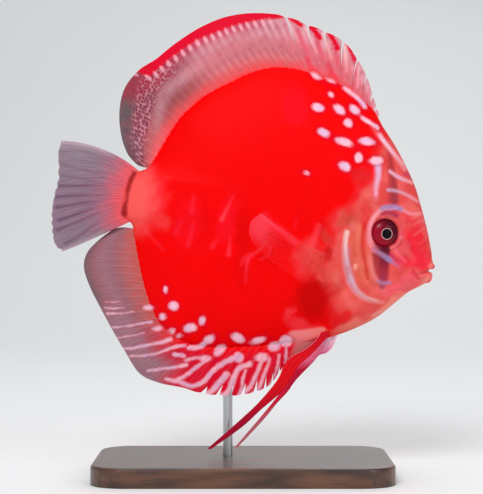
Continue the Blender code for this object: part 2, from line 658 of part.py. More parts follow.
def stand(parts, cutters, grown_body, black, steel):
    """A flat base and one rod, which stands in a hole in the base and holds the far flank from below."""
    work = bmesh.new()
    bmesh.ops.create_cube(work, size=1.0)
    bmesh.ops.scale(work, vec=(BASE_LENGTH, BASE_WIDTH, BASE_THICK), verts=work.verts)
    bmesh.ops.translate(work, vec=(-FISH_FORWARD, 0, BASE_THICK / 2 - FISH_HEIGHT), verts=work.verts)
    upright = [e for e in work.edges if abs(e.verts[0].co.z - e.verts[1].co.z) > BASE_THICK / 2]
    bmesh.ops.bevel(work, geom=upright, offset=BASE_CORNER, segments=8, affect="EDGES", profile=0.5)
    top = max(vert.co.z for vert in work.verts)
    ring = [e for e in work.edges if all(v.co.z > top - SLACK for v in e.verts)]
    bmesh.ops.bevel(work, geom=ring, offset=BASE_EDGE, segments=3, affect="EDGES", profile=0.5)
    base = object_from("stand_base", work, parts, black)

    def pin(name, radius, low, collection):
        pin_work = bmesh.new()
        length = ROD_TOP - low
        bmesh.ops.create_cone(pin_work, cap_ends=True, segments=20, radius1=radius, radius2=radius,
                              depth=length)
        bmesh.ops.translate(pin_work, vec=(ROD_X, ROD_Y, low + length / 2), verts=pin_work.verts)
        return object_from(name, pin_work, collection)

    hole_floor = BASE_THICK - SOCKET_DEPTH - FISH_HEIGHT
    combine(base, "DIFFERENCE", as_cutter(pin("rod_hole", ROD_RADIUS + GAP, hole_floor, cutters)))
    rod = pin("stand_rod", ROD_RADIUS, hole_floor + GAP, parts)
    rod.data.materials.append(steel)
    combine(rod, "DIFFERENCE", grown_body)


def build():
    clear_scene()
    parts = bpy.data.collections.new("discus_fish")
    cutters = bpy.data.collections.new("cutters")
    for collection in (parts, cutters):
        bpy.context.scene.collection.children.link(collection)
    flesh = material("red_skin", FLESH_RED, roughness=0.35)
    fins = material("pink_fin", FIN_PINK, roughness=0.4)
    red_fin = material("red_fin", FIN_RED, roughness=0.4)
    tail = material("grey_tail_fin", TAIL_GREY, roughness=0.4)
    iris = material("crimson_eye", IRIS_RED, roughness=0.08)
    black = material("black_base", BASE_BLACK, roughness=0.35)
    steel = material("steel_rod", ROD_STEEL, roughness=0.25, metallic=1.0)

    grown_body = body_form("body_room", cutters, GAP)
    body_parts(parts, cutters, flesh, iris)
    median_fins(parts, fins, tail)
    pectoral_fin(parts, grown_body, fins)
    pelvic_fin("pelvic_fin_right", PELVIC_RIGHT_FRONT, PELVIC_RIGHT_REAR, -1, PELVIC_RIGHT_APART, parts,
               grown_body, red_fin)
    pelvic_fin("pelvic_fin_left", PELVIC_LEFT_FRONT, PELVIC_LEFT_REAR, 1, PELVIC_LEFT_APART, parts,
               grown_body, fins)
    stand(parts, cutters, grown_body, black, steel)

    for obj in parts.objects:
        obj.data.shade_smooth()
        obj.data.set_sharp_from_angle(angle=SHARP_ANGLE)
    fish = bpy.data.objects.new("fish", None)
    fish.location = (FISH_FORWARD * MM, 0, FISH_HEIGHT * MM)
    for obj in list(parts.objects) + list(cutters.objects):
        obj.parent = fish
    parts.objects.link(fish)


build()
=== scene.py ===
# %% [markdown]
# # Dressing a discus fish for a display case
#
# A discus is a tall, flat river fish: a round body hardly thicker than a finger, with long fins round most
# of its edge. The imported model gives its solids, and this lesson gives each of them the surface of the real
# fish. The model comes first, because every piece below is placed by it and stays inside its box.

# %% Load the solid model
from math import cos, pi, radians, sin

import bpy
import numpy as np
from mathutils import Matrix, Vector


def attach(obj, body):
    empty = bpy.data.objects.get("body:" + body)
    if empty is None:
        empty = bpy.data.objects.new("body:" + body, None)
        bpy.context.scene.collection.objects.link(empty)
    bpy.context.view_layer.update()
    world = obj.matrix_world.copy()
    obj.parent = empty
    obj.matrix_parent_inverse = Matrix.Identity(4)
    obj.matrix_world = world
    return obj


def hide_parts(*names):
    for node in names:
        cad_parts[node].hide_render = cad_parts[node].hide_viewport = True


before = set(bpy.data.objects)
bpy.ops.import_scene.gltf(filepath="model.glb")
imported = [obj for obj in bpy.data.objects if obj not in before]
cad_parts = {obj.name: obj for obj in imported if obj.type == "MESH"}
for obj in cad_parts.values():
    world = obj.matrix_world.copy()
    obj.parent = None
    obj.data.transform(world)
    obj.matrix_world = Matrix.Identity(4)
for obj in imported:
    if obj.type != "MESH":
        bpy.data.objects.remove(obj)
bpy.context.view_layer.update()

MM = 0.001

# %% [markdown]
# ## From the photograph to the fish
#
# The camera looked at the fish square on, so a place in the photograph is a place on the fish's side. The
# fish has a frame of its own, in millimetres: x runs forward to the snout and z up, from the middle of the
# round body. One number says how much of the fish a pixel covers, and every mark below is given in pixels
# and turned by it.

# %% Pixels to millimetres
PIXEL = 0.38
MIDDLE_PX = (300.0, 243.0)
FISH_PLACE = np.array([21.6, 0.0, 114.4])


def from_photo(points):
    """Photograph pixels as millimetres forward of, and above, the middle of the fish's body."""
    spots = np.asarray(points, float)
    return np.stack([(spots[..., 0] - MIDDLE_PX[0]) * PIXEL, (MIDDLE_PX[1] - spots[..., 1]) * PIXEL], -1)


print("snout, mm:", from_photo((455.5, 312.0)))

# %% [markdown]
# ## Smooth lines
#
# A fish has no straight edges. A Catmull-Rom curve passes through every point it is given, so a few
# measured points make a smooth outline. A track reads such a curve at any key, for instance the tip of any
# fin ray.

# %% Curves through points
def curve_between(a, b, c, d, t):
    return 0.5 * (2 * b + (c - a) * t + (2 * a - 5 * b + 4 * c - d) * t * t + (3 * b - a - 3 * c + d) * t**3)


def smooth_line(points, closed=False, steps=8):
    """Points along a smooth curve that passes through the given ones."""
    spots = np.asarray(points, float)
    count = len(spots)
    i = np.arange(count if closed else count - 1)
    near = [(i + k) % count if closed else np.clip(i + k, 0, count - 1) for k in (-1, 0, 1, 2)]
    t = (np.arange(steps) / steps)[None, :, None]
    line = curve_between(*(spots[n][:, None, :] for n in near), t).reshape(-1, spots.shape[1])
    return line if closed else np.vstack([line, spots[-1]])


class Track:
    """Rows whose first value is a rising key; the other values are read smoothly at any key."""

    def __init__(self, rows):
        self.rows = np.array(sorted(map(tuple, rows)), float)

    def at(self, key):
        keys, last = self.rows[:, 0], len(self.rows) - 1
        i = np.clip(np.searchsorted(keys, key, side="right") - 1, 0, last - 1)
        near = (self.rows[np.clip(i + k, 0, last), 1:] for k in (-1, 0, 1, 2))
        return curve_between(*near, np.clip((key - keys[i]) / (keys[i + 1] - keys[i]), 0, 1)[..., None])


def line_track(points):
    """A line as a track whose key is the share of its length."""
    line = smooth_line(points, steps=6)
    reach = np.concatenate([[0], np.cumsum(np.linalg.norm(np.diff(line, axis=0), axis=1))])
    return Track(np.column_stack([reach / reach[-1], line]))


def smoothstep(low, high, value):
    share = np.clip((value - low) / (high - low), 0, 1)
    return share * share * (3 - 2 * share)


def hump(value, middle, width):
    """1 at the middle, falling away smoothly to both sides."""
    return np.exp(-(((value - middle) / width) ** 2))


print("a smooth line through 3 points has", len(smooth_line([(0, 0), (1, 1), (2, 0)])), "points")

# %% [markdown]
# ## The body's edge and thickness
#
# Seen from its side the body is a ring of bearings: at each bearing from its middle it has a radius. Seen
# from above it is thin and rounded, 24 mm at its thickest. Both are the solid model's own, with the lips
# and the mouth's notch drawn finer, so the new skin lies where the solids are.

# %% Outline and thickness
BODY_OUTLINE = [
    (56.8, -28.2), (58.1, -27.5), (58.7, -26.3), (58.5, -25.0), (57.8, -23.2), (57.6, -20.5), (55.9, -11.4),
    (53.2, -1.1), (50.2, 8.4), (45.6, 18.2), (41.4, 25.8), (37.2, 32.3), (33.1, 38.8), (26.6, 44.8),
    (19.8, 49.4), (11.4, 53.2), (1.9, 55.9), (-7.6, 57.0), (-17.1, 55.1), (-26.2, 50.9), (-35.3, 46.4),
    (-41.4, 41.8), (-47.5, 36.1), (-52.1, 29.3), (-56.2, 22.4), (-60.8, 15.2), (-66.1, 12.9), (-69.5, 9.1),
    (-71.1, 3.8), (-71.8, -1.1), (-71.1, -5.7), (-67.6, -8.4), (-66.9, -13.3), (-65.7, -20.9), (-63.8, -30.4),
    (-61.6, -38.4), (-58.9, -45.6), (-54.0, -52.8), (-46.4, -57.8), (-36.1, -60.0), (-22.8, -60.0),
    (-7.6, -58.9), (9.5, -56.6), (21.3, -53.8), (29.6, -50.4), (35.3, -47.1), (40.7, -42.9), (47.1, -37.6),
    (50.5, -35.7), (55.1, -33.4), (56.0, -33.3), (57.3, -32.4), (58.0, -31.0), (57.6, -29.5),
]
FULL_HALF, ROUNDNESS = 12.0, 2.25
HEAD_POWER, FIN_POWER = 2.0, 1.35
RIM_HALF, HEAD_RIM_HALF, TAIL_RIM_HALF = 1.2, 0.35, 3.2
HEAD_LOW, HEAD_HIGH, HEAD_FADE = -64.0, 40.0, 14.0
TAIL_BEARING, TAIL_NEAR, TAIL_FAR = 177.0, 7.0, 17.0
CALM_SPREAD, CALM_STEP, CALM_FROM = 40, 5, 0.4

outline = smooth_line(BODY_OUTLINE, closed=True, steps=12)
outline_bearing = np.degrees(np.arctan2(outline[:, 1], outline[:, 0])) % 360
outline_radius = np.hypot(*outline.T)


def edge_radius(bearing):
    order = np.argsort(outline_bearing)
    return np.interp(bearing, outline_bearing[order], outline_radius[order], period=360)


def calm_radius(bearing):
    """The edge's radius with its short bumps evened out, for the middle of the flank."""
    turns = range(-CALM_SPREAD, CALM_SPREAD + 1, CALM_STEP)
    return sum(edge_radius(bearing + turn) for turn in turns) / len(turns)


def turn_from(bearing, other):
    """The turn from one bearing to another, from -180 to 180 degrees."""
    return (bearing - other + 180) % 360 - 180


def head_share(bearing):
    """1 where the edge is the head's own round profile, 0 where a fin grows from it."""
    turn = turn_from(bearing, 0)
    below_nape = 1 - smoothstep(HEAD_HIGH, HEAD_HIGH + HEAD_FADE, turn)
    return smoothstep(HEAD_LOW - HEAD_FADE, HEAD_LOW, turn) * below_nape


def rim_half(bearing):
    """Half the body's thickness along its very edge."""
    tail = 1 - smoothstep(TAIL_NEAR, TAIL_FAR, np.abs(turn_from(bearing, TAIL_BEARING)))
    plain = RIM_HALF + (HEAD_RIM_HALF - RIM_HALF) * head_share(bearing)
    return plain + (TAIL_RIM_HALF - plain) * tail


def half_thickness(x, z):
    """Half the body's thickness at a place on its side."""
    bearing, reach = np.degrees(np.arctan2(z, x)) % 360, np.hypot(x, z)
    share, calm = reach / edge_radius(bearing), reach / calm_radius(bearing)
    share = np.clip(calm + (share - calm) * smoothstep(CALM_FROM, 1.0, share), 0, 1)
    power = FIN_POWER + (HEAD_POWER - FIN_POWER) * head_share(bearing)
    rim = rim_half(bearing)
    return rim + (FULL_HALF - rim) * (1 - share**ROUNDNESS) ** (1 / power)


print("body height, mm:", round(np.ptp(outline[:, 1]), 1))

# %% [markdown]
# ## Marks as distances
#
# The fish's pearls, stripes and bars could be painted as colours on the mesh, but then an edge is only as
# sharp as the mesh is fine. Instead each point of the mesh stores how far it is from the edge of the
# nearest mark, in millimetres, below zero inside. A distance stays true between the points, so the finish
# can draw a crisp edge.

# %% Distances to lines, strokes and spots
def near_line(x, z, line):
    """Each place's distance from a line, its side of it (1 is the left) and its share along it."""
    gap, side, along = np.full(x.shape, np.inf), np.zeros(x.shape), np.zeros(x.shape)
    steps = np.linalg.norm(np.diff(line, axis=0), axis=1)
    reach = np.concatenate([[0], np.cumsum(steps)])
    for i, (a, b) in enumerate(zip(line, line[1:])):
        run = b - a
        t = np.clip(((x - a[0]) * run[0] + (z - a[1]) * run[1]) / (run @ run), 0, 1)
        here = np.hypot(x - a[0] - t * run[0], z - a[1] - t * run[1])
        closer = here < gap
        gap = np.where(closer, here, gap)
        side = np.where(closer, np.sign(run[0] * (z - a[1]) - run[1] * (x - a[0])), side)
        along = np.where(closer, (reach[i] + t * steps[i]) / reach[-1], along)
    return gap, side, along


def stroke(x, z, half_px, *points_px):
    """The distance in millimetres from a stroke's edge. half_px is half its width, or one for each end."""
    gap, _, along = near_line(x, z, smooth_line(from_photo(points_px), steps=5))
    start, end = half_px if isinstance(half_px, tuple) else (half_px, half_px)
    return gap - (start + (end - start) * along) * PIXEL


def oval(x, z, px, py, half_x, half_y, tilt=0.0):
    """0 in the middle of an oval spot and 1 on its edge. A tilt above 0 lowers its front end."""
    middle, turn = from_photo((px, py)), radians(tilt)
    along = (x - middle[0]) * cos(turn) - (z - middle[1]) * sin(turn)
    across = (x - middle[0]) * sin(turn) + (z - middle[1]) * cos(turn)
    return np.hypot(along / half_x, across / half_y) / PIXEL


def spot(x, z, px, py, half_x, half_y, tilt=0.0):
    return (oval(x, z, px, py, half_x, half_y, tilt) - 1) * min(half_x, half_y) * PIXEL


# %% [markdown]
# ## The pattern
#
# This fish is red all over, with pearls over its shoulder and its belly, pale stripes that run out over the
# lower fin, and a dark bar at the root of its tail. Each list names one kind of mark: a pearl is an oval,
# given by its middle, its two half widths and its tilt, and a stripe or bar is a stroke, given by its half
# width and its path. The softer lines on its face come with the broad colours below.

# %% Where the marks are
PEARLS_PX = [
    (340, 123, 4, 3.2, 50), (325.5, 138, 7.5, 5.2, 12), (349, 140, 7.5, 5, 42), (366, 140, 7.5, 4.6, 42),
    (358.5, 155, 5, 5.5, -30), (331.5, 166, 7.5, 4.8, 30), (354, 176, 11, 4.6, 18), (379, 175, 10, 4.8, 8),
    (369.5, 193, 5, 6, 0), (389, 196, 8.5, 5, -5), (354.5, 203, 7.5, 5.2, 25), (312, 210, 4, 2.6, 20),
    (324, 102, 7, 3.6, 32), (340, 107, 6, 2.6, 25), (158, 338, 3, 4, 0), (167, 356, 6.5, 5.6, 0),
    (154.5, 368, 4.8, 4.2, -10), (139, 358, 6.4, 3.4, 0), (148, 381, 7, 3.2, -5), (164.5, 383.5, 5, 3.2, -35),
    (173, 389, 5, 2.6, -15), (185, 380, 8, 5.4, -12), (198.5, 372, 4, 6, 15), (205.5, 393, 8, 5, -35),
    (217.5, 405, 8.5, 5.4, -45), (237.5, 391, 8.5, 5.6, 28), (259.5, 394, 9.5, 4.4, -18),
    (278, 401, 7.5, 6, 0), (290.5, 395, 8, 7, 0), (264, 413, 8.6, 5.6, 0), (238, 413, 6.4, 6.4, 0),
    (201, 414.5, 7.5, 4.6, -5), (250, 421, 5, 4, -20),
]
PALE_STROKES_PX = [
    (2.8, (375, 149.5), (383, 154), (391, 159.5)),
    (3.0, (356, 115), (363, 121), (371, 127), (378, 136)),
    ((0.9, 0.7), (91, 352), (100, 352), (108, 351)),
    ((1.3, 1.0), (90, 358), (100, 359), (111, 358)),
    ((1.5, 1.1), (93, 364.5), (108, 364.5), (122, 362.5)),
    ((1.2, 2.0), (99, 380), (118, 378), (130, 375.5), (142, 374)),
    ((1.0, 1.3), (104, 391.5), (120, 389), (134, 386)),
    ((1.8, 2.9), (111, 403.5), (122, 402.5), (140, 399), (155, 395.5), (163, 393)),
    ((1.5, 2.4), (118, 411.5), (135, 411), (150, 408), (160, 404), (170, 401), (179, 400)),
    (3.4, (184, 402.5), (193, 402), (199, 399), (204, 394)),
    (2.7, (167, 410), (173, 410.5), (178, 411.5)),
    (2.5, (180, 416), (190, 414), (200, 414)),
    ((2.0, 2.6), (138, 428), (155, 425.5), (170, 423.5), (180, 421.5)),
    ((2.8, 2.4), (170, 438), (180, 433), (188, 427), (197, 420), (203, 415)),
    ((2.8, 3.5), (158, 437), (172, 440), (186, 445), (199, 440), (209, 429), (219, 421), (232, 414)),
    ((3.6, 4.2), (199, 455), (208, 451), (217, 441), (225, 432)),
    ((4.0, 3.4), (220, 456), (228, 450), (233, 436), (239, 425), (250, 421)),
    ((2.8, 2.0), (238, 457), (242, 447), (243, 437), (246, 428)),
    ((3.0, 2.8), (243, 452), (251, 446), (256, 436), (262, 422), (265, 414)),
    ((2.9, 2.2), (254, 454), (261, 447), (266, 434), (271, 421), (272, 414)),
    ((2.4, 2.1), (271, 448), (276, 438), (281, 425), (283, 411)),
    (2.0, (290, 420), (291, 410), (291, 400)),
]
BAR_STROKES_PX = [
    ((3.0, 1.7), (123, 210), (119.5, 217), (116.5, 228), (115, 240)),
    ((1.8, 3.8), (115, 240), (112.5, 249), (112.5, 254)),
]


def nearest(x, z, spots=(), strokes=()):
    """The distance from the edge of the nearest of several marks."""
    gaps = [spot(x, z, *row) for row in spots] + [stroke(x, z, *row) for row in strokes]
    return np.minimum.reduce(gaps)


def mark_distances(x, z):
    return {
        "pearl": nearest(x, z, PEARLS_PX, PALE_STROKES_PX),
        "bar": nearest(x, z, strokes=BAR_STROKES_PX),
    }


print("marks:", len(PEARLS_PX), "pearls,", len(PALE_STROKES_PX), "pale stripes")

# %% [markdown]
# ## Broad colours
#
# Under the marks the colour changes slowly: salmon over the cheek and the gill cover, hotter red on the
# snout, pink along the chin. Painters lay such colours as soft patches, one over the other, and then draw
# the finer streaks of the flank and the pale and dusky lines of the face with a soft brush. This step does
# the same. A few of the patches are painted light and shade: a deeper red painted as shade low on the belly,
# a dark red painted as the shadow in the root of the side fin, and a small pale dot painted as a highlight
# on the cheek. The colours are written as a screen shows them and turned into the light values that Blender
# mixes.

# %% Soft patches of colour
OVAL_SOFT, STROKE_SOFT = (0.35, 1.3), 0.75
WAVES = [(1.0, 0.3, 0.4), (-0.55, 0.9, 2.1), (0.8, -1.1, 4.4), (1.7, 1.3, 1.2), (-2.3, 1.1, 0.3),
         (1.2, -2.6, 5.2)]


def light_of(colour):
    """A colour from 0 to 255 as light values from 0 to 1."""
    share = np.asarray(colour, float) / 255
    return np.where(share <= 0.04045, share / 12.92, ((share + 0.055) / 1.055) ** 2.4)


def coat_of(colour, x):
    """A first coat of one colour, for as many places as x has."""
    return np.tile(light_of(colour), (*x.shape, 1))


def lay(coat, colour, cover):
    """Lays one colour over a coat of paint, as thickly as cover says."""
    coat += (light_of(colour) - coat) * np.clip(cover, 0, 1)[..., None]


def lay_ovals(coat, x, z, rows):
    """Soft-edged ovals, each a colour, how thickly it is laid, and its oval in the photograph."""
    for colour, cover, *row in rows:
        lay(coat, colour, cover * (1 - smoothstep(*OVAL_SOFT, oval(x, z, *row))))


def lay_strokes(coat, x, z, rows):
    """Soft brush strokes, each with the colours at its two ends, how thickly it is laid, and its path."""
    for start, end, cover, (half_start, half_end), *points_px in rows:
        gap, _, along = near_line(x, z, smooth_line(from_photo(points_px), steps=5))
        gap = gap - (half_start + (half_end - half_start) * along) * PIXEL
        colour = light_of(start) + (light_of(end) - light_of(start)) * along[..., None]
        coat += (colour - coat) * (cover * (1 - smoothstep(-STROKE_SOFT, STROKE_SOFT, gap)))[..., None]


def side_of(x, z, *points_px):
    """The distance ahead of a line in millimetres, below zero behind it. The line runs downwards."""
    gap, side, _ = near_line(x, z, smooth_line(from_photo(points_px), steps=5))
    return gap * side


def wander(x, z, size):
    """A slow, uneven drift between about -1 and 1, so that no edge of a patch is drawn with a ruler."""
    return sum(np.sin((x * a + z * b) * 2 * pi / size + c) / (1 + abs(a) + abs(b)) for a, b, c in WAVES)


BODY_RED = (249, 0, 2)
FACE_SALMON = (236, 84, 80)
FACE_EDGE_PX = [(400, 158), (396, 180), (392, 200), (384, 214), (374, 226), (366, 244), (352, 254),
                (344, 266), (339, 284), (334, 300), (334, 322), (340, 345), (350, 372), (352, 395)]
SKIN_PATCHES = [
    # The first patch on the next line, a deeper red low on the belly, is painted shade.
    ((205, 0, 2), 0.9, 320, 348, 24, 28, 0), ((226, 0, 2), 0.6, 243, 290, 10, 50, 0),
    ((250, 16, 38), 0.4, 184, 264, 19, 30, 0), ((250, 14, 44), 0.4, 300, 137, 18, 26, 0),
    ((226, 0, 8), 0.4, 201, 256, 6, 28, 0), ((250, 18, 42), 0.5, 226, 262, 11, 30, 12),
    ((244, 66, 70), 0.9, 312, 302, 15, 22, 10),
    # On the next line, the dark red patch where the side fin joins the body is a painted shadow.
    ((250, 52, 66), 0.8, 264, 270, 9, 17, 10), ((205, 10, 10), 0.8, 337, 297, 7, 9, 0),
    ((218, 10, 12), 0.6, 328, 272, 6, 12, 0), ((236, 84, 76), 0.95, 340, 318, 13, 13, 20),
    ((255, 58, 66), 0.8, 138, 236, 24, 34, 0), ((250, 96, 92), 0.85, 126, 236, 22, 42, 0),
    ((252, 60, 62), 0.7, 152, 262, 16, 10, 20), ((246, 84, 78), 0.6, 356, 348, 14, 18, 0),
    ((255, 126, 112), 0.95, 372, 376, 36, 7, -20), ((255, 138, 124), 0.95, 404, 357, 28, 6, -38),
    ((226, 100, 78), 0.75, 368, 300, 13, 42, -4), ((206, 76, 58), 0.6, 356, 260, 12, 12, 0),
    ((232, 112, 92), 0.7, 383, 316, 7, 24, 0), ((232, 74, 74), 0.75, 414, 226, 24, 22, 20),
    ((248, 22, 50), 0.85, 433, 284, 17, 20, 0), ((240, 60, 70), 0.6, 426, 262, 12, 8, 0),
    ((250, 34, 62), 0.9, 434, 306, 20, 12, 0), ((255, 96, 110), 0.9, 418, 333, 28, 9, -28),
    ((255, 150, 136), 0.8, 436, 334, 22, 3.4, -30), ((255, 132, 122), 0.8, 452, 309, 4, 6, 0),
    ((255, 132, 122), 0.8, 451, 325, 5, 5, 0), ((196, 34, 60), 0.75, 401, 256, 14, 6, 0),
    ((255, 70, 84), 0.45, 308, 378, 18, 8, 20), ((255, 66, 78), 0.5, 294, 364, 5, 10, 35),
    ((240, 20, 28), 0.85, 356, 366, 17, 8, -25), ((206, 50, 42), 0.5, 348, 333, 9, 10, 0),
    ((208, 62, 58), 0.6, 335, 280, 8, 9, 0), ((216, 34, 58), 0.75, 419, 292, 11, 9, 0),
    ((196, 40, 56), 0.6, 389, 266, 6, 12, 0),
    ((244, 90, 104), 0.75, 416, 272, 5, 15, 0), ((255, 130, 138), 0.55, 446, 262, 3.4, 28, -12),
    ((226, 26, 40), 0.5, 378, 262, 8, 20, 0), ((216, 40, 48), 0.5, 372, 214, 12, 10, 0),
]
FLANK_STROKES = [
    ((252, 34, 56), (252, 38, 60), 0.55, (1.6, 2.8), (189, 235), (188.5, 244), (187, 253)),
    ((250, 28, 50), (250, 32, 54), 0.5, (2.4, 3.2), (176, 263), (172, 270), (169, 276)),
    ((252, 32, 54), (252, 36, 56), 0.55, (1.6, 2.6), (188.5, 264), (187, 276), (183, 289)),
    ((252, 42, 62), (255, 66, 82), 0.8, (0.5, 2.3), (232, 236), (226, 249), (220, 261)),
    ((252, 32, 54), (255, 44, 64), 0.55, (2.4, 3.0), (214, 284), (212, 287), (210, 290)),
    ((252, 36, 58), (255, 52, 72), 0.7, (1.2, 2.4), (229, 281), (228.5, 290), (227.5, 299)),
    ((252, 60, 72), (250, 38, 60), 0.6, (0.7, 0.8), (134, 272), (144, 282), (156, 294)),
    ((255, 62, 78), (255, 52, 72), 0.7, (1.6, 0.8), (268, 286), (261, 294), (252, 301), (245, 307)),
    ((255, 58, 76), (255, 46, 66), 0.65, (0.9, 0.7), (273, 290), (271, 299), (262, 305)),
    ((255, 52, 72), (255, 40, 60), 0.65, (1.7, 0.7), (249, 303), (247, 314), (246, 330)),
    ((255, 48, 68), (255, 48, 68), 0.6, (1.2, 0.8), (252, 298), (244, 303), (241, 311)),
    ((250, 32, 58), (250, 32, 58), 0.5, (0.9, 0.9), (302, 261), (299, 269)),
]
LAVENDER, PALE_PINK, SOFT_PINK = (166, 132, 184), (246, 190, 208), (246, 138, 150)
FACE_STROKES = [
    ((216, 70, 66), (206, 56, 60), 0.8, (4, 6), (404, 182), (405, 200), (407, 222), (407, 240)),
    ((222, 24, 50), (226, 40, 60), 0.6, (2.8, 2.0), (430.5, 318), (436, 325)),
    ((222, 60, 74), (190, 30, 54), 0.7, (0.9, 0.5), (438, 321), (446, 318), (452, 316.5)),
    ((196, 60, 56), (206, 66, 60), 0.5, (1.6, 2.6), (362, 255), (359, 261), (357, 266)),
    ((186, 48, 56), (156, 58, 68), 0.8, (1.8, 4.4), (404.5, 184), (406, 204), (408.5, 224), (409, 240)),
    ((110, 16, 40), (190, 50, 62), 0.8, (10, 7.5), (394, 293), (394, 308), (395, 324)),
    ((84, 10, 40), (160, 40, 60), 0.8, (6, 4.5), (398, 295), (398, 308), (397, 322)),
    ((170, 46, 64), (160, 62, 92), 0.8, (5.0, 3.4), (397, 318), (397, 327), (396, 334)),
    ((226, 36, 30), (210, 40, 34), 0.8, (1.6, 1.4), (376, 266), (374, 284), (376, 304), (380, 326)),
    ((242, 120, 96), (236, 110, 90), 0.6, (2.2, 1.4), (370, 268), (368, 286), (370, 304), (374, 324)),
    ((255, 110, 118), (250, 150, 160), 0.7, (2.4, 3.4), (386, 158), (396, 172), (408, 186), (422, 204)),
    (PALE_PINK, (252, 170, 180), 0.95, (2.2, 1.4), (394, 168), (400, 176.5), (410, 189), (420, 199)),
    ((255, 220, 230), (240, 190, 214), 0.7, (1.0, 0.8), (396, 172), (402, 179), (409, 187)),
    ((240, 130, 160), (238, 108, 124), 0.75, (4.6, 3.2), (391, 200), (391, 212), (388.5, 225), (388, 238)),
    ((224, 190, 230), (246, 170, 186), 0.85, (2.8, 1.6), (391, 200), (391.5, 212), (389, 224), (388.5, 234)),
    (PALE_PINK, (255, 166, 176), 0.95, (1.5, 1.6), (404.5, 208), (412, 213), (421, 217), (430, 220)),
    ((176, 60, 120), (176, 60, 120), 0.7, (1.2, 0.9), (421, 210), (427, 212), (431, 214)),
    ((214, 170, 206), (214, 160, 196), 0.7, (1.2, 1.6), (411, 213), (419, 217)),
    ((208, 166, 200), (252, 166, 176), 0.9, (1.6, 1.2),
     (402, 228.5), (409, 229), (417, 231), (427, 235.5), (437, 241)),
    (SOFT_PINK, (252, 140, 150), 0.9, (2.0, 1.6), (415, 248), (421, 251.5), (429, 254.5), (440, 254)),
    ((248, 150, 160), SOFT_PINK, 0.85, (2.6, 3.0),
     (396, 249), (388, 256), (383, 265), (381, 275), (382, 286), (387, 294)),
    ((255, 176, 180), (255, 160, 168), 0.6, (0.8, 1.0),
     (394, 251), (387, 257), (383, 266), (382, 276), (383, 286)),
    (LAVENDER, LAVENDER, 0.9, (2.2, 2.6), (395, 249), (401, 247), (409, 247), (416, 249.5)),
    ((198, 172, 214), (198, 172, 214), 0.6, (0.8, 1.0), (398, 249), (404, 250), (412, 248)),
    ((196, 112, 140), (150, 128, 176), 0.9, (2.4, 2.8), (386, 293), (392, 297), (398, 301), (404, 305)),
    ((150, 128, 176), (226, 90, 130), 0.85, (2.2, 1.0), (402, 304), (408, 308.5), (415, 313)),
    ((196, 40, 84), (214, 50, 92), 0.85, (2.0, 1.6), (405, 299), (410, 304), (415, 308)),
    ((252, 110, 128), (252, 90, 116), 0.8, (1.4, 1.2), (410, 294), (416, 301), (421, 307)),
    ((240, 140, 134), (214, 150, 170), 0.85, (2.0, 4.0),
     (356.5, 274), (354.5, 285), (354, 298), (356, 312), (361, 328)),
    ((214, 150, 170), (250, 140, 134), 0.85, (4.0, 1.6), (361, 328), (368, 340), (380, 348.5), (397, 352)),
    ((255, 214, 206), (226, 190, 208), 0.85, (2.4, 1.4), (356.5, 275), (355, 284), (355, 296), (357, 310)),
    ((226, 190, 208), (255, 190, 184), 0.8, (1.2, 1.0), (360, 322), (366, 335), (376, 344.5), (390, 350)),
    ((188, 144, 180), (206, 156, 180), 0.6, (0.4, 1.4), (359, 290), (359, 306), (362, 322)),
    # A small pale dot on the cheek: a painted highlight.
    ((255, 190, 166), (255, 176, 160), 0.85, (1.5, 1.5), (366, 311), (366, 314)),
    ((240, 120, 116), (238, 130, 134), 0.8, (2.4, 1.8), (382, 304), (385, 318), (390, 327)),
    ((190, 130, 164), (178, 128, 172), 0.9, (1.4, 1.8), (391, 328.5), (397, 330.5), (404, 330)),
    ((255, 130, 140), (255, 150, 160), 0.6, (0.7, 0.9), (405, 292.5), (412, 288), (417, 280)),
    ((150, 30, 70), (140, 40, 90), 0.6, (1.6, 2.0), (395, 255), (403, 254), (412, 257)),
    ((255, 120, 128), (255, 120, 128), 0.55, (0.8, 0.5), (430, 260), (437, 255.5), (443, 252)),
    ((255, 120, 128), (255, 130, 138), 0.55, (0.8, 0.5), (427, 268), (437, 263), (447, 257)),
    ((255, 110, 124), (255, 130, 138), 0.55, (0.8, 0.6), (431, 278), (440, 272), (449, 266)),
    ((236, 50, 66), (240, 60, 76), 0.5, (1.2, 0.8), (428, 264), (437, 259), (446, 254)),
    ((248, 90, 104), (252, 110, 120), 0.45, (1.0, 0.8), (436, 288), (443, 283), (451, 276)),
    ((255, 146, 150), (255, 138, 130), 0.9, (8.0, 5.0), (300, 391), (315, 388), (330, 384)),
    ((255, 176, 160), (255, 150, 132), 0.8, (1.2, 1.6), (388, 366), (406, 356), (424, 343)),
    ((252, 60, 72), (255, 84, 92), 0.6, (3.0, 4.0), (326, 268), (321, 282), (314, 296)),
    ((255, 44, 72), (250, 60, 78), 0.7, (1.4, 4.0), (268, 258), (284, 272), (300, 286)),
]


def skin_colour(x, z):
    """The broad colours of the body and head, with some painted shade and one painted highlight."""
    coat = coat_of(BODY_RED, x)
    ahead = side_of(x, z, *FACE_EDGE_PX) + wander(x, z, 13.0) * 1.8
    lay(coat, (240, 40, 44), smoothstep(-5.5, 0.5, ahead))
    lay(coat, FACE_SALMON, smoothstep(-1.2, 4.0, ahead))
    drift_x, drift_z = x + wander(x, z, 9.0) * 1.1, z + wander(z, x, 11.0) * 1.1
    lay_ovals(coat, drift_x, drift_z, SKIN_PATCHES)
    lay_strokes(coat, x, z, FLANK_STROKES)
    face = smoothstep(0, 5, ahead)
    lay(coat, (206, 56, 60), face * np.clip(wander(x, z, 17.0), 0, 1) * 0.3)
    lay(coat, (255, 140, 134), face * np.clip(wander(-z, x, 15.0), 0, 1) * 0.25)
    lay_strokes(coat, x, z, FACE_STROKES)
    return coat


print("brushwork:", len(SKIN_PATCHES), "patches,", len(FLANK_STROKES) + len(FACE_STROKES), "strokes")

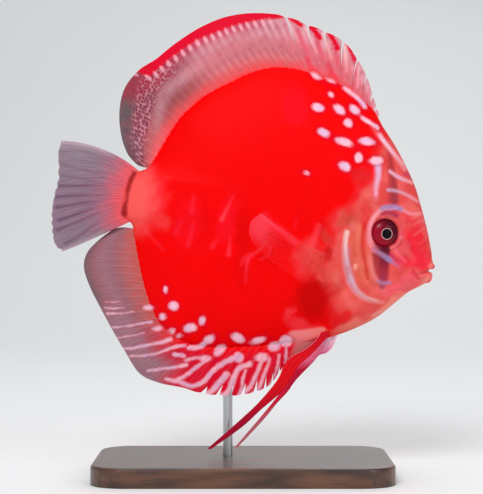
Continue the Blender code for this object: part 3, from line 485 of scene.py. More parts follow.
# %% [markdown]
# ## Carving the head
#
# A skin is smooth until something lies under it. The gill cover is a plate whose rear edge stands clear of
# the flank; a groove marks the bone ahead of it; the eye sits in a socket with a raised rim; the nostril is
# a small pit, and the mouth is a slit between two lips. Each is a hollow or a ridge drawn along a line, so
# one sum gives how far every point of the skin moves out or in.

# %% Hollows and ridges
GILL_LINE = smooth_line([(24.7, -5.7), (21.3, -11.8), (20.1, -17.9), (20.6, -23.6), (21.7, -29.3),
                         (23.9, -34.2), (27.7, -38.0), (32.3, -40.7), (36.6, -42.9)])
CHEEK_LINE = smooth_line([(29.6, -7.2), (28.7, -11.0), (28.1, -17.9), (29.0, -25.5), (30.6, -32.4),
                          (34.4, -37.4)])
EYE_CENTRE, EYE_RADII = (37.5, -12.3), (5.9, 6.1)
NOSTRIL, CHEEK_MIDDLE, NAPE = (49.2, -9.6), (39.0, -27.0), (36.0, 3.0)
GILL_LIFT, GILL_DROP, CHEEK_LIFT, CHEEK_DEPTH = 0.75, 0.5, 0.3, 0.5
EYE_RIM_LIFT, SOCKET_DEPTH, SOCKET_FOLD = 0.55, 2.6, 0.25
NOSTRIL_RIM_LIFT, NOSTRIL_DEPTH = 0.25, 0.7
LIP_LIFT, MOUTH_DEPTH, LIP_CREASE = 0.35, 0.6, 0.2
FOLD_DEPTH, JAW_DEPTH, CHEEK_SWELL, NAPE_SWELL = 0.06, 0.2, 0.5, 0.35
MOUTH_LINE = smooth_line(from_photo([(462, 315.5), (450, 317), (443, 319), (436, 321.5), (432, 323)]))
LIP_FOLD = smooth_line(from_photo([(429, 317), (433, 322), (436, 329), (436, 335)]))
JAW_LINE = smooth_line(from_photo([(436, 335), (424, 338), (408, 340), (394, 345)]))


def faded(along, start, end):
    """1 along the middle of a line, easing to 0 towards both of its ends."""
    return smoothstep(0, start, along) * (1 - smoothstep(end, 1, along))


def skin_relief(x, z):
    """How far the skin stands out from the plain body, in millimetres."""
    gap, side, along = near_line(x, z, GILL_LINE)
    behind = smoothstep(-0.55, 0.55, gap * -side)
    plate = GILL_LIFT * (1 - smoothstep(0.2, 7, gap)) * (1 - behind) - GILL_DROP * np.exp(-gap / 1.8) * behind
    out = plate * faded(along, 0.12, 0.9) * (1 - 0.45 * smoothstep(0.5, 0.85, along))
    gap, side, along = near_line(x, z, CHEEK_LINE)
    groove = CHEEK_LIFT * hump(gap * side, 1.8, 1.3) - CHEEK_DEPTH * hump(gap, 0, 0.75)
    out += faded(along, 0.15, 0.85) * groove
    eye = np.hypot((x - EYE_CENTRE[0]) / EYE_RADII[0], (z - EYE_CENTRE[1]) / EYE_RADII[1])
    out += EYE_RIM_LIFT * hump(eye, 1.14, 0.1) - SOCKET_DEPTH * (1 - smoothstep(0.82, 1.01, eye))
    out -= SOCKET_FOLD * hump(eye, 1.42, 0.12)
    pit = np.hypot(x - NOSTRIL[0], z - NOSTRIL[1])
    out += NOSTRIL_RIM_LIFT * hump(pit, 1.1, 0.4) - NOSTRIL_DEPTH * (1 - smoothstep(0.1, 0.8, pit))
    gap, _, along = near_line(x, z, MOUTH_LINE)
    closed = 1 - smoothstep(0.72, 1, along)
    lips = LIP_LIFT * hump(gap, 1.5, 1.0) - MOUTH_DEPTH * hump(gap, 0, 0.4) - LIP_CREASE * hump(gap, 2.9, 0.6)
    out += closed * lips
    for line, depth in ((LIP_FOLD, FOLD_DEPTH), (JAW_LINE, JAW_DEPTH)):
        gap, _, along = near_line(x, z, line)
        out -= depth * hump(gap, 0, 0.55) * faded(along, 0.2, 0.7)
    out += CHEEK_SWELL * hump(np.hypot((x - CHEEK_MIDDLE[0]) / 8, (z - CHEEK_MIDDLE[1]) / 7), 0, 1)
    out += NAPE_SWELL * hump(np.hypot(x - NAPE[0], z - NAPE[1]), 0, 6)
    return out


print("gill cover, mm long:", round(np.linalg.norm(np.diff(GILL_LINE, axis=0), axis=1).sum(), 1))

# %% [markdown]
# ## Meshes from arrays
#
# Every surface here is a grid of points, worked out as arrays and handed to Blender in one go. A helper
# makes the mesh, stores the named values on its points, moves the piece from the fish's frame to its place
# over the stand, and hides the solids it stands for. Creases sharper than 50 degrees keep a hard edge.

# %% From points to a piece
CREASE = radians(50)


def piece(name, points, faces, values, finish, slot, *nodes):
    """A piece from points in millimetres, which rides with the model and stands for the named solids."""
    mesh = bpy.data.meshes.new(name)
    mesh.from_pydata(((points + FISH_PLACE) * MM).tolist(), [], faces)
    for key, value in values.items():
        if value.ndim == 2:
            held = mesh.attributes.new(key, "FLOAT_COLOR", "POINT")
            held.data.foreach_set("color", np.column_stack([value, np.ones(len(value))]).ravel())
        else:
            mesh.attributes.new(key, "FLOAT", "POINT").data.foreach_set("value", value.ravel())
    mesh.materials.append(finish)
    mesh.shade_smooth()
    mesh.set_sharp_from_angle(angle=CREASE)
    made = bpy.data.objects.new(name, mesh)
    bpy.context.scene.collection.objects.link(made)
    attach(made, "root")
    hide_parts(*nodes)
    print(name, "has", len(mesh.polygons), "faces")


def ring_faces(rows, columns):
    """The faces of a grid whose columns close into rings, with a fan to one more point at each end."""
    row, column = np.meshgrid(np.arange(rows - 1), np.arange(columns), indexing="ij")
    corner, beside = row * columns + column, row * columns + (column + 1) % columns
    quads = np.stack([corner, corner + columns, beside + columns, beside], -1).reshape(-1, 4).tolist()
    first, last, start = rows * columns, rows * columns + 1, (rows - 1) * columns
    quads += [(first, i, (i + 1) % columns) for i in range(columns)]
    return quads + [(last, start + (i + 1) % columns, start + i) for i in range(columns)]


def normals_of(grid, wrap=False):
    """The outward direction at each point of a grid of points."""
    down = np.gradient(grid, axis=0)
    across = np.roll(grid, -1, 1) - np.roll(grid, 1, 1) if wrap else np.gradient(grid, axis=1)
    turned = np.cross(down, across)
    return turned / np.maximum(np.linalg.norm(turned, axis=2, keepdims=True), 1e-9)


# %% [markdown]
# ## Sums on sockets
#
# A finish in Blender is a web of nodes. Written out by hand, each sum takes four lines and hides what it
# means. This class wraps a socket so that ordinary sums on it add the nodes, and a second one holds the
# material under way and adds any other node from one call.

# %% A socket that can be summed
class Signal:
    """A value or colour that flows through a material."""

    def __init__(self, paint, socket):
        self.paint, self.socket = paint, socket

    def __add__(self, other):
        return self.paint.math("ADD", self, other)

    def __sub__(self, other):
        return self.paint.math("SUBTRACT", self, other)

    def __rsub__(self, other):
        return self.paint.math("SUBTRACT", other, self)

    def __mul__(self, other):
        return self.paint.math("MULTIPLY", self, other)

    __radd__, __rmul__ = __add__, __mul__


class Paint:
    """One material under way."""

    def __init__(self, name):
        self.material = bpy.data.materials.new(name)
        self.material.use_nodes = True
        self.tree = self.material.node_tree
        self.shader = self.tree.nodes["Principled BSDF"]

    def join(self, socket, value):
        if isinstance(value, Signal):
            self.tree.links.new(value.socket, socket)
        else:
            socket.default_value = value

    def node(self, kind, settings, values, out=0):
        """Any node: its settings are set first, then the values or links of its sockets."""
        made = self.tree.nodes.new(kind)
        for name, value in settings.items():
            setattr(made, name, value)
        for name, value in values.items():
            self.join(made.inputs[name], value)
        return Signal(self, made.outputs[out])

    def math(self, operation, *values):
        return self.node("ShaderNodeMath", {"operation": operation}, dict(enumerate(values)))

    def held(self, name, out="Fac"):
        """A value that the mesh holds at its points."""
        return self.node("ShaderNodeAttribute", {"attribute_name": name}, {}, out)

    def place(self):
        return self.node("ShaderNodeTexCoord", {}, {}, "Object")

    def along(self, x, y, z):
        return self.node("ShaderNodeCombineXYZ", {}, {0: x, 1: y, 2: z})

    def noise(self, place, scale, detail=2.0):
        return self.node("ShaderNodeTexNoise", {}, {"Vector": place, "Scale": scale, "Detail": detail})

    def stretched(self, *scale):
        """Places stretched along the axes, so that a noise over them is drawn out."""
        return self.node("ShaderNodeMapping", {}, {"Vector": self.place(), "Scale": scale})

    def bump(self, strength, distance, height):
        return self.node("ShaderNodeBump", {}, {"Strength": strength, "Distance": distance, "Height": height})

    def ease(self, value, low, high):
        """0 at low and 1 at high, with a soft turn at both ends."""
        values = {"Value": value, "From Min": low, "From Max": high}
        return self.node("ShaderNodeMapRange", {"interpolation_type": "SMOOTHSTEP"}, values)

    def mix(self, share, first, second, blend="MIX"):
        """One colour going over into another, as share goes from 0 to 1."""
        settings = {"data_type": "RGBA", "blend_type": blend}
        return self.node("ShaderNodeMix", settings, {0: share, 6: first, 7: second}, 2)

    def wear(self, **looks):
        """Gives the shader its values, by its sockets' names."""
        for name, value in looks.items():
            self.join(self.shader.inputs[name.replace("_", " ")], value)
        return self.material


def tint(*colour):
    """A screen colour as a socket holds it."""
    return (*light_of(colour), 1.0)


# %% [markdown]
# ## Scales
#
# A discus has some fifty small scales along its side. Each is a thin round plate whose rear edge lies over
# the next one. Modelled one by one they would be far finer than the mesh, so they are relief in the finish.
# Two interleaved grids of discs give them: at each place the disc whose middle is furthest ahead lies on
# top.

# %% Relief of overlapping scales
SCALE_LENGTH, SCALE_HEIGHT, SCALE_REACH, SCALE_EDGE = 2.1, 2.3, 0.74, 0.06


def scale_relief(paint, x, z):
    """The height of overlapping scales, from 0 to 1, at a place in millimetres."""
    rows = []
    for shift in (0.0, 0.5):
        back = paint.math("FRACT", x * (-1 / SCALE_LENGTH) + shift)
        up = paint.math("FRACT", z * (1 / SCALE_HEIGHT) + shift) - 0.5
        reach = paint.math("SQRT", back * back + up * up)
        rows.append((back, 1 - paint.ease(reach, SCALE_REACH - SCALE_EDGE, SCALE_REACH), reach))
    (back_a, cover_a, reach_a), (back_b, cover_b, reach_b) = rows
    first = paint.math("GREATER_THAN", back_a, back_b)
    top = reach_a * first + reach_b * (1 - first)
    under = reach_b * first + reach_a * (1 - first)
    cover = cover_a * first + cover_b * (1 - first)
    return (0.35 + top * 0.65) * cover + under * (1 - cover) * 0.5


# %% [markdown]
# ## The skin's finish
#
# The broad colours lie at the bottom. Over them come the dark bar at the tail's root, the pearls and the
# pale stripes, each from its stored distance, with a little noise added so that no edge is drawn with a
# ruler. Scales, the pores of the lateral line and fine grain are relief. The skin is satin and reflects
# little, because a mirror-like sheen would turn the deep red pink.

# %% Painting the skin
PORE_EVERY = 2.6


def marked(paint, colour, place, glow=0.35, cover=0.95):
    """The marks laid over a colour. glow is for the crimson round the pearls, cover for the pearls."""
    ragged = (paint.noise(place, 420.0) - 0.5) * 1.8 + (paint.noise(place, 1500.0) - 0.5) * 0.7
    bar = 1 - paint.ease(paint.held("bar") + ragged * 0.6, -0.7, 0.7)
    colour = paint.mix(bar * 0.85, colour, tint(150, 24, 30))
    pearl_gap = paint.held("pearl") + ragged * 0.6
    halo = 1 - paint.ease(pearl_gap, 0.2, 1.6)
    colour = paint.mix(halo * glow, colour, tint(196, 0, 44))
    pearl = 1 - paint.ease(pearl_gap, -1.0, 0.4)
    cool = paint.ease(paint.noise(place, 160.0), 0.42, 0.66)
    pearly = paint.mix(cool, tint(250, 192, 210), tint(226, 186, 218))
    return paint.mix(pearl * cover, colour, pearly), pearl


def skin_finish():
    paint = Paint("discus_skin")
    place = paint.place()
    shade = paint.mix(paint.noise(place, 70.0, 4.0), tint(236, 236, 236), tint(255, 255, 255))
    ground = paint.mix(1.0, paint.held("ground", "Color"), shade, "MULTIPLY")
    colour, pearl = marked(paint, ground, place)
    x, z = (paint.node("ShaderNodeSeparateXYZ", {}, {0: place}, axis) * (1 / MM) for axis in (0, 2))
    scales = scale_relief(paint, x, z) * paint.held("scaly")
    beat = paint.ease(paint.math("SINE", paint.held("run") * PORE_EVERY), 0.2, 0.9)
    pores = (1 - paint.ease(paint.held("lateral"), 0.15, 0.6)) * beat
    grain = paint.noise(place, 2600.0, 2.0)
    bump = paint.bump(0.3, 0.12 * MM, scales + grain * 0.16 - pores * 0.8)
    roughness = 0.42 - pearl * 0.08 + paint.noise(place, 240.0) * 0.12
    return paint.wear(Base_Color=colour, Roughness=roughness, Normal=bump, Specular_IOR_Level=0.045)


# %% [markdown]
# ## The skin
#
# One closed sheet stands for the trunk, the head, the jaw, the gill covers and the root of the tail, so no
# seam shows between them. Its grid is a set of rings, from the middle of one flank out to the rim, round it
# and back to the middle of the other. The columns crowd together over the head and most of all at the
# mouth, where the forms are smallest.

# %% Rings and columns
COLUMNS, RIM_ROUND = 424, 0.6
RIM_TURNS = np.radians([30.0, 60.0, 90.0, 60.0, 30.0])
EVEN_SHARES = np.concatenate([np.linspace(0.02, 0.28, 12, endpoint=False), np.linspace(0.28, 1, 99)])
LATERAL_PX = [(366, 262), (352, 234), (330, 200), (300, 172), (266, 156), (232, 158), (200, 180), (176, 206)]
TAIL_LATERAL_PX = [(188, 236), (160, 236), (128, 235)]
LATERAL_LENGTH, TAIL_LATERAL_LENGTH = 90, 23
SCALELESS_PX = [(420, 190), (390, 240), (372, 262), (380, 300), (392, 340), (398, 360)]


def column_bearings():
    """Bearings round the body, close together over the head and closest at the mouth."""
    fine = np.arange(-180, 180, 0.02)
    crowd = 1 + 2.0 * hump(fine, -14, 26) + 5.0 * hump(fine, -27.5, 4.5)
    share = np.cumsum(crowd) / crowd.sum()
    return np.interp(np.arange(COLUMNS) / COLUMNS, share, fine)


def make_skin():
    bearing = column_bearings()[None, :]
    share = np.concatenate([EVEN_SHARES, np.ones(len(RIM_TURNS)), EVEN_SHARES[::-1]])[:, None]
    turn = np.concatenate([0 * EVEN_SHARES, RIM_TURNS, 0 * EVEN_SHARES])[:, None]
    side = np.concatenate([-np.ones(len(EVEN_SHARES) + 3), np.ones(len(EVEN_SHARES) + 2)])[:, None]
    radius = edge_radius(bearing) * share
    x0, z0 = radius * np.cos(np.radians(bearing)), radius * np.sin(np.radians(bearing))
    rim = rim_half(bearing)
    grown = radius + RIM_ROUND * np.minimum(rim, 1.2) * np.sin(turn)
    y = side * np.where(turn > 0, rim * np.cos(turn), half_thickness(x0, z0))
    grid = np.stack([grown * np.cos(np.radians(bearing)), y, grown * np.sin(np.radians(bearing))], 2)
    grid = grid + normals_of(grid, wrap=True) * skin_relief(x0, z0)[:, :, None]
    points = np.vstack([grid.reshape(-1, 3), [[0, -FULL_HALF, 0], [0, FULL_HALF, 0]]])
    x, z = points[:, 0], points[:, 2]
    upper, _, upper_run = near_line(x, z, smooth_line(from_photo(LATERAL_PX)))
    lower, _, lower_run = near_line(x, z, smooth_line(from_photo(TAIL_LATERAL_PX)))
    run = np.where(upper < lower, upper_run * LATERAL_LENGTH, lower_run * TAIL_LATERAL_LENGTH)
    values = {
        "ground": skin_colour(x, z), **mark_distances(x, z), "lateral": np.minimum(upper, lower), "run": run,
        "scaly": 1 - smoothstep(-3, 3, side_of(x, z, *SCALELESS_PX)),
    }
    piece("discus_body", points, ring_faces(len(share), COLUMNS), values, skin_finish(), "skin",
          "head", "lower_jaw", "gill_cover_right", "gill_cover_left", "torso", "peduncle")


make_skin()

# %% [markdown]
# ## Fins as sheets with rays
#
# A fin is two thin skins over a row of bony rays. It could be a plane with a picture of rays, but light
# from the side then shows no ribs. Here it is one closed sheet with two faces: its middle is a grid of
# points, and every point is thickened alike to both sides, more over a ray and less in the web. The rays
# fork towards the edge, as in life.

# %% A two-faced sheet
def fin_sheet(name, middle, half, values, finish, slot, *nodes):
    """A closed sheet from a grid of middle points and half its thickness at each."""
    out = normals_of(middle) * half[:, :, None]
    rows, columns = half.shape
    count = rows * columns
    points = np.concatenate([(middle + out).reshape(-1, 3), (middle - out).reshape(-1, 3)])
    row, column = np.meshgrid(np.arange(rows - 1), np.arange(columns - 1), indexing="ij")
    corner = (row * columns + column).ravel()
    front = np.stack([corner, corner + columns, corner + columns + 1, corner + 1], -1)
    back = front[:, ::-1] + count
    loop = np.concatenate([np.arange(columns), np.arange(1, rows) * columns + columns - 1,
                           (rows - 1) * columns + np.arange(columns - 2, -1, -1),
                           np.arange(rows - 2, 0, -1) * columns])
    ahead = np.roll(loop, -1)
    rim = np.stack([loop, ahead, ahead + count, loop + count], -1)
    doubled = {key: np.concatenate([v.reshape(count, -1)] * 2).squeeze() for key, v in values.items()}
    piece(name, points, np.concatenate([front, back, rim]).tolist(), doubled, finish, slot, *nodes)


def web_values(coat, streak, bone, **others):
    """What the finish of every fin reads from its mesh: three colours and the values given."""
    return {"ground": coat, "streak": coat * np.array(streak), "bone": coat * bone[0] + bone[1], **others}


def ray_ridges(phase, out, fork, width=0.13):
    """The height of soft rays, from 0 to 1, at a count of rays and a share of the way out."""
    part = phase - np.floor(phase) - 0.5
    spread = 0.2 * smoothstep(fork, fork + 0.35, out)
    finer = 0.09 * smoothstep(fork + 0.3, fork + 0.55, out)
    twigs = [hump(part, a * spread + b * finer, width * (1 - 0.45 * out)) for a in (-1, 1) for b in (-1, 1)]
    return np.maximum.reduce(twigs)


def on_edge(bearing, grow):
    radius = edge_radius(bearing) + grow
    return np.stack([radius * np.cos(np.radians(bearing)), radius * np.sin(np.radians(bearing))], -1)


def edge_fin_middle(rays, bearing, out, bow, sway):
    """The middle of a fin that grows from the body's edge, and the length of each ray."""
    root, tip = on_edge(bearing, -1.2), Track(rays).at(bearing)
    run = tip - root
    length = np.linalg.norm(run, axis=-1)
    aside = np.stack([-run[..., 1], run[..., 0]], -1) / length[..., None]
    x, z = np.moveaxis(root + run * out[..., None] + aside * (bow * 4 * out * (1 - out))[..., None], -1, 0)
    return np.stack([x, sway, z], -1), length


def columns_round(low, high, count, slits):
    """Bearings across a fin, with five of them drawn together at each slit."""
    plain = np.linspace(low, high, count)
    for bearing, _, half_width in slits:
        plain = plain[np.abs(plain - bearing) > half_width * 1.3]
    close = [b + w * k for b, _, w in slits for k in (-1.0, -0.55, 0.0, 0.55, 1.0)]
    return np.sort(np.concatenate([plain, close]))


def slit_reach(bearing, slits, dip):
    """How far out the fin's edge is at each bearing: less at a slit, and a little less beside it."""
    reach = np.ones_like(bearing)
    for middle, depth, half_width in slits:
        reach -= depth * np.clip(1 - np.abs(bearing - middle) / half_width, 0, 1)
        reach -= dip * np.exp(-np.abs(bearing - middle) / (half_width * 3))
    return np.clip(reach, 0.1, 1)


# %% [markdown]
# ## The membranes' finish
#
# The web between the rays is thinner than the rays, so it is a little darker, and fine streaks run out
# along it. The marks of the body run on over the fins on its edge, and so the same distances are used. The
# upper fin has more: pale beads in a row just inside its crimson edge, one to a ray, and dark flecks with a
# pale net between them on its rear. A cell pattern, laid along the rays and loosened a little, gives the
# net.

# %% Painting a membrane
def flecks_and_beads(paint, colour, place, phase, grain):
    """The woven flecks, the crimson margin and the row of beads of the upper fin."""
    part = paint.math("FRACT", phase) - 0.5
    edge, margin, beaded = paint.held("edge"), paint.held("margin"), paint.held("beaded")
    woven, broken = paint.held("woven"), (paint.noise(place, 330.0) - 0.5) * 0.9
    cells = paint.along(phase * 3.0 + edge * 0.22, edge * 0.62 - phase * 0.7, 0.0)
    looks = {"Vector": cells, "Scale": 1.0, "Randomness": 0.6}
    weave = paint.node("ShaderNodeTexVoronoi", {"voronoi_dimensions": "2D"}, looks) + broken * 0.3
    fleck = paint.mix(1 - paint.ease(margin, 3.0, 14.0), tint(112, 30, 64), tint(204, 8, 52))
    strong = paint.ease(paint.noise(place, 240.0), 0.36, 0.6) * 0.5 + 0.35
    colour = paint.mix((1 - paint.ease(weave, 0.06, 0.38)) * woven * strong, colour, fleck)
    colour = paint.mix(paint.ease(weave, 0.36, 0.66) * woven * 0.5, colour, tint(226, 160, 172))
    scallop = paint.math("COSINE", phase * (2 * pi)) * -0.5 * beaded
    ragged = (paint.noise(place, 700.0) - 0.5) * 1.4
    crimson = 1 - paint.ease(margin + ragged - scallop, -0.5, 0.7)
    colour = paint.mix(crimson, colour, paint.mix(grain, tint(208, 0, 34), tint(230, 0, 46)))
    drop = margin - 1.1 + ragged * 0.4
    bead = paint.math("SQRT", part * part * 12.0 + drop * drop * 0.28) + broken * 0.4
    return paint.mix((1 - paint.ease(bead, 0.4, 1.2)) * beaded * 0.65, colour, tint(250, 180, 196))


def membrane(name, streak, flecked=False, patterned=True, clear=None, roughness=0.45):
    """A fin's finish. streak is how strong its streaks are; flecked is for the upper fin alone."""
    paint = Paint(name)
    place = paint.place()
    phase, out, ridge = paint.held("phase"), paint.held("out"), paint.held("ridge")
    grain = paint.noise(paint.along(phase * 5.0, out * 2.2, 0.0), 1.6, 4.0)
    colour = paint.held("ground", "Color")
    web = paint.ease(grain, 0.35, 0.75) * streak
    colour = paint.mix(web, colour, paint.held("streak", "Color"))
    colour = paint.mix(ridge * 0.13, colour, paint.held("bone", "Color"))
    if flecked:
        colour = flecks_and_beads(paint, colour, place, phase, grain)
    if patterned:
        colour, _ = marked(paint, colour, place, glow=0.1, cover=0.78)
    segments = paint.math("SINE", paint.held("edge") * 5.2) * ridge
    bump = paint.bump(0.45, 0.15 * MM, grain * 0.5 + segments * 0.35)
    if clear is not None:
        paint.wear(Alpha=clear(paint, ridge, grain))
    rough = roughness + grain * 0.1
    return paint.wear(Base_Color=colour, Roughness=rough, Normal=bump, Specular_IOR_Level=0.08)


# %% [markdown]
# ## The upper fin
#
# The front of a discus's upper fin is held by stiff spines. The web is cut in between them, so each spine
# carries a flap of its own with a red tip, and its front edge is the spine. The rear is soft: fine rays, a
# crimson edge with a row of beads, and a grey see-through lobe over the tail. Both are one sheet here, as
# in life.

# %% Upper fin
DORSAL = [
    (43.5, 35.9, 37.2), (46.5, 34.6, 41.2), (50.0, 32.9, 46.6), (54.0, 30.6, 53.8), (58.2, 28.2, 58.2),
    (62.4, 26.0, 62.2), (66.7, 20.8, 68.6), (70.4, 13.5, 72.6), (76.2, 5.8, 75.6), (80.5, -2.5, 78.8),
    (87.0, -10.5, 80.1), (96.0, -20.5, 80.2), (106.0, -30.4, 78.4), (117.0, -40.5, 73.8),
    (127.0, -50.5, 67.0), (135.0, -58.0, 60.8), (143.0, -65.4, 56.0), (150.6, -71.4, 48.4),
    (156.5, -73.6, 38.8), (161.0, -72.9, 29.0), (164.0, -70.4, 21.5), (165.4, -67.0, 17.4),
]
DORSAL_SLITS = [(81.4, 0.42, 0.34), (76.4, 0.36, 0.3), (71.0, 0.34, 0.3), (66.8, 0.5, 0.3),
                (61.4, 0.58, 0.34), (54.2, 0.34, 0.4), (49.6, 0.42, 0.4), (46.2, 0.5, 0.4)]
DORSAL_FRONT_SPINE = (DORSAL[0][0] - 0.2, 0, 0.4)
DORSAL_SOFT, DORSAL_RAYS, DORSAL_DIP = 83.0, 26, 0.045
RIDGE, SPINE_RIDGE, WEB_HALF, EDGE_HALF, ROOT_HALF = 0.32, 0.45, 0.18, 0.13, RIM_HALF - 0.25
CRIMSON_EDGE_PX = [(108, 122), (122, 119), (132, 111), (142, 101), (152, 92), (158, 87), (169, 78.5),
                   (179, 71), (191, 63), (207, 56), (223, 49.5), (237, 45), (252, 41.5), (265, 39.5),
                   (277, 38), (288, 36.5), (296, 30)]
CRIMSON_PX = [
    ((2.8, 2.4), (295, 36), (300, 39), (307, 45)), ((2.2, 2.8), (317, 46), (322, 51), (328, 59)),
    ((2.2, 2.6), (339, 55), (344, 62), (348, 71)), ((1.3, 1.8), (359, 67), (363, 75), (367, 84)),
]
LAPPET_STROKES = [
    ((216, 40, 84), (226, 92, 112), 0.65, (2.0, 2.8), (304, 50), (309, 63), (315, 75)),
    ((214, 36, 80), (226, 92, 112), 0.65, (2.0, 2.8), (323, 56), (327, 69), (332, 82)),
    ((214, 36, 80), (230, 84, 104), 0.65, (2.2, 2.8), (343, 66), (347, 80), (350, 92)),
    ((206, 40, 84), (226, 80, 104), 0.65, (1.6, 2.4), (363, 74), (367, 88), (369, 100)),
    ((228, 44, 76), (236, 40, 60), 0.75, (2.6, 3.6), (337, 88), (340, 97), (345, 106)),
    ((232, 50, 80), (238, 44, 64), 0.65, (2.4, 3.4), (314, 82), (318, 92), (322, 100)),
    ((255, 206, 208), (238, 150, 160), 0.75, (0.9, 1.3), (292, 38.5), (298, 50), (305, 64)),
    ((255, 206, 208), (238, 150, 160), 0.75, (0.9, 1.3), (312.5, 48), (318, 60), (325, 76)),
    ((255, 210, 206), (238, 150, 160), 0.75, (0.9, 1.3), (331.5, 54), (336, 66), (341, 82)),
    ((255, 214, 206), (238, 150, 160), 0.75, (1.0, 1.4), (356, 68), (357, 82), (358, 96)),
    ((250, 196, 200), (238, 150, 160), 0.7, (0.9, 1.3), (371, 92), (371, 104), (370, 114)),
]


def crimson_distance(x, z):
    """The distance from the crimson edge and the crimson tips, below zero inside."""
    band = -side_of(x, z, *CRIMSON_EDGE_PX)
    return np.minimum(band, nearest(x, z, strokes=CRIMSON_PX))


def woven_reach(bearing):
    """Where the woven flecks start and end on the way out, which is nearer the body further back."""
    return 0.6 - 0.24 * smoothstep(136, 156, bearing), 0.95 - 0.24 * smoothstep(138, 155, bearing)


def dorsal_colour(x, z, out, bearing):
    """The upper fin's broad colours: pink bands, a pale band inside the flecks and a grey lobe."""
    coat, drift = coat_of((208, 96, 98), x), wander(x, z, 7.0)
    lay(coat, (206, 118, 128), smoothstep(0.12, 0.45, out))
    lay(coat, (204, 144, 158), smoothstep(0.5, 0.82, out) * 0.85)
    front = 1 - smoothstep(76, 92, bearing)
    lay(coat, (226, 108, 120), front * 0.8)
    lay(coat, (232, 70, 92), front * 0.7 * (1 - smoothstep(0.05, 0.4, out + drift * 0.12)))
    lay(coat, (214, 156, 170), front * 0.6 * smoothstep(0.55, 0.95, out))
    rear = smoothstep(116, 134, bearing)
    start, end = woven_reach(bearing)
    lay(coat, (190, 92, 96), rear * 0.9 * (1 - smoothstep(start - 0.3, start - 0.12, out)))
    lay(coat, (226, 156, 166), rear * hump(out, start - 0.1, 0.09) * 0.9)
    lay(coat, (172, 88, 106), rear * smoothstep(start - 0.04, start + 0.08, out) * 0.95)
    lay(coat, (118, 104, 108), smoothstep(134, 145, bearing) * smoothstep(end - 0.08, end + 0.1, out))
    lay(coat, (140, 104, 114), smoothstep(155, 162, bearing) * smoothstep(0.2, 0.5, out) * 0.8)
    comb = 0.5 + 0.5 * np.cos((bearing - DORSAL_SOFT) * 2 * pi * DORSAL_RAYS / (DORSAL[-1][0] - DORSAL_SOFT))
    lay(coat, (160, 70, 80), comb * hump(out, 0.36 + drift * 0.03, 0.09) * (0.3 - 0.15 * rear))
    pale = (1 - comb) * hump(out, 0.26 + drift * 0.03, 0.09) * (0.4 - 0.25 * rear) * (1 - front)
    lay(coat, (236, 140, 146), pale)
    lay(coat, (236, 184, 194), (1 - comb) * hump(out, 0.74, 0.13) * 0.45 * (1 - rear))
    lay(coat, (158, 78, 96), comb * hump(out, 0.8 + drift * 0.03, 0.07) * 0.45 * (1 - front))
    lay(coat, (186, 90, 104), np.clip(drift, 0, 1) * smoothstep(0.25, 0.5, out) * 0.4)
    lay_strokes(coat, x, z, LAPPET_STROKES)
    lay(coat, (238, 74, 78), (1 - smoothstep(0.04, 0.3, out + drift * 0.03)) * 0.9)
    lay(coat, (236, 96, 102), smoothstep(146, 158, bearing) * (1 - smoothstep(0.15, 0.6, out)) * 0.85)
    wash = (1 - smoothstep(-1, 6.5, crimson_distance(x, z))) * smoothstep(84, 100, bearing)
    lay(coat, (202, 26, 68), wash * 0.8)
    coat *= (1 - 0.36 * smoothstep(118, 138, bearing) * smoothstep(0.1, 0.3, out))[..., None]
    lay(coat, (250, 8, 12), 1 - smoothstep(0.03, 0.1, out + wander(x, z, 21.0) * 0.015))
    return coat


def spines_beside(bearing, out, slits, shift, width):
    """The height of the stiff spines, one beside each slit."""
    humps = [hump(bearing, slit + half * shift, half * width) for slit, _, half in slits]
    return np.maximum.reduce(humps) * (1 - 0.35 * out)


def edge_fin_half(out, v, ridge, spines):
    """Half the thickness of a fin on the body's edge, from a thick root to a thin edge, with its rays."""
    half = EDGE_HALF + (ROOT_HALF - EDGE_HALF) * (1 - out) ** 2.2 + WEB_HALF * (1 - v**6)
    rays = RIDGE * ridge * (1 - v**8) + SPINE_RIDGE * spines
    return half + smoothstep(0, 0.15, out) * (1 - 0.6 * out) * rays


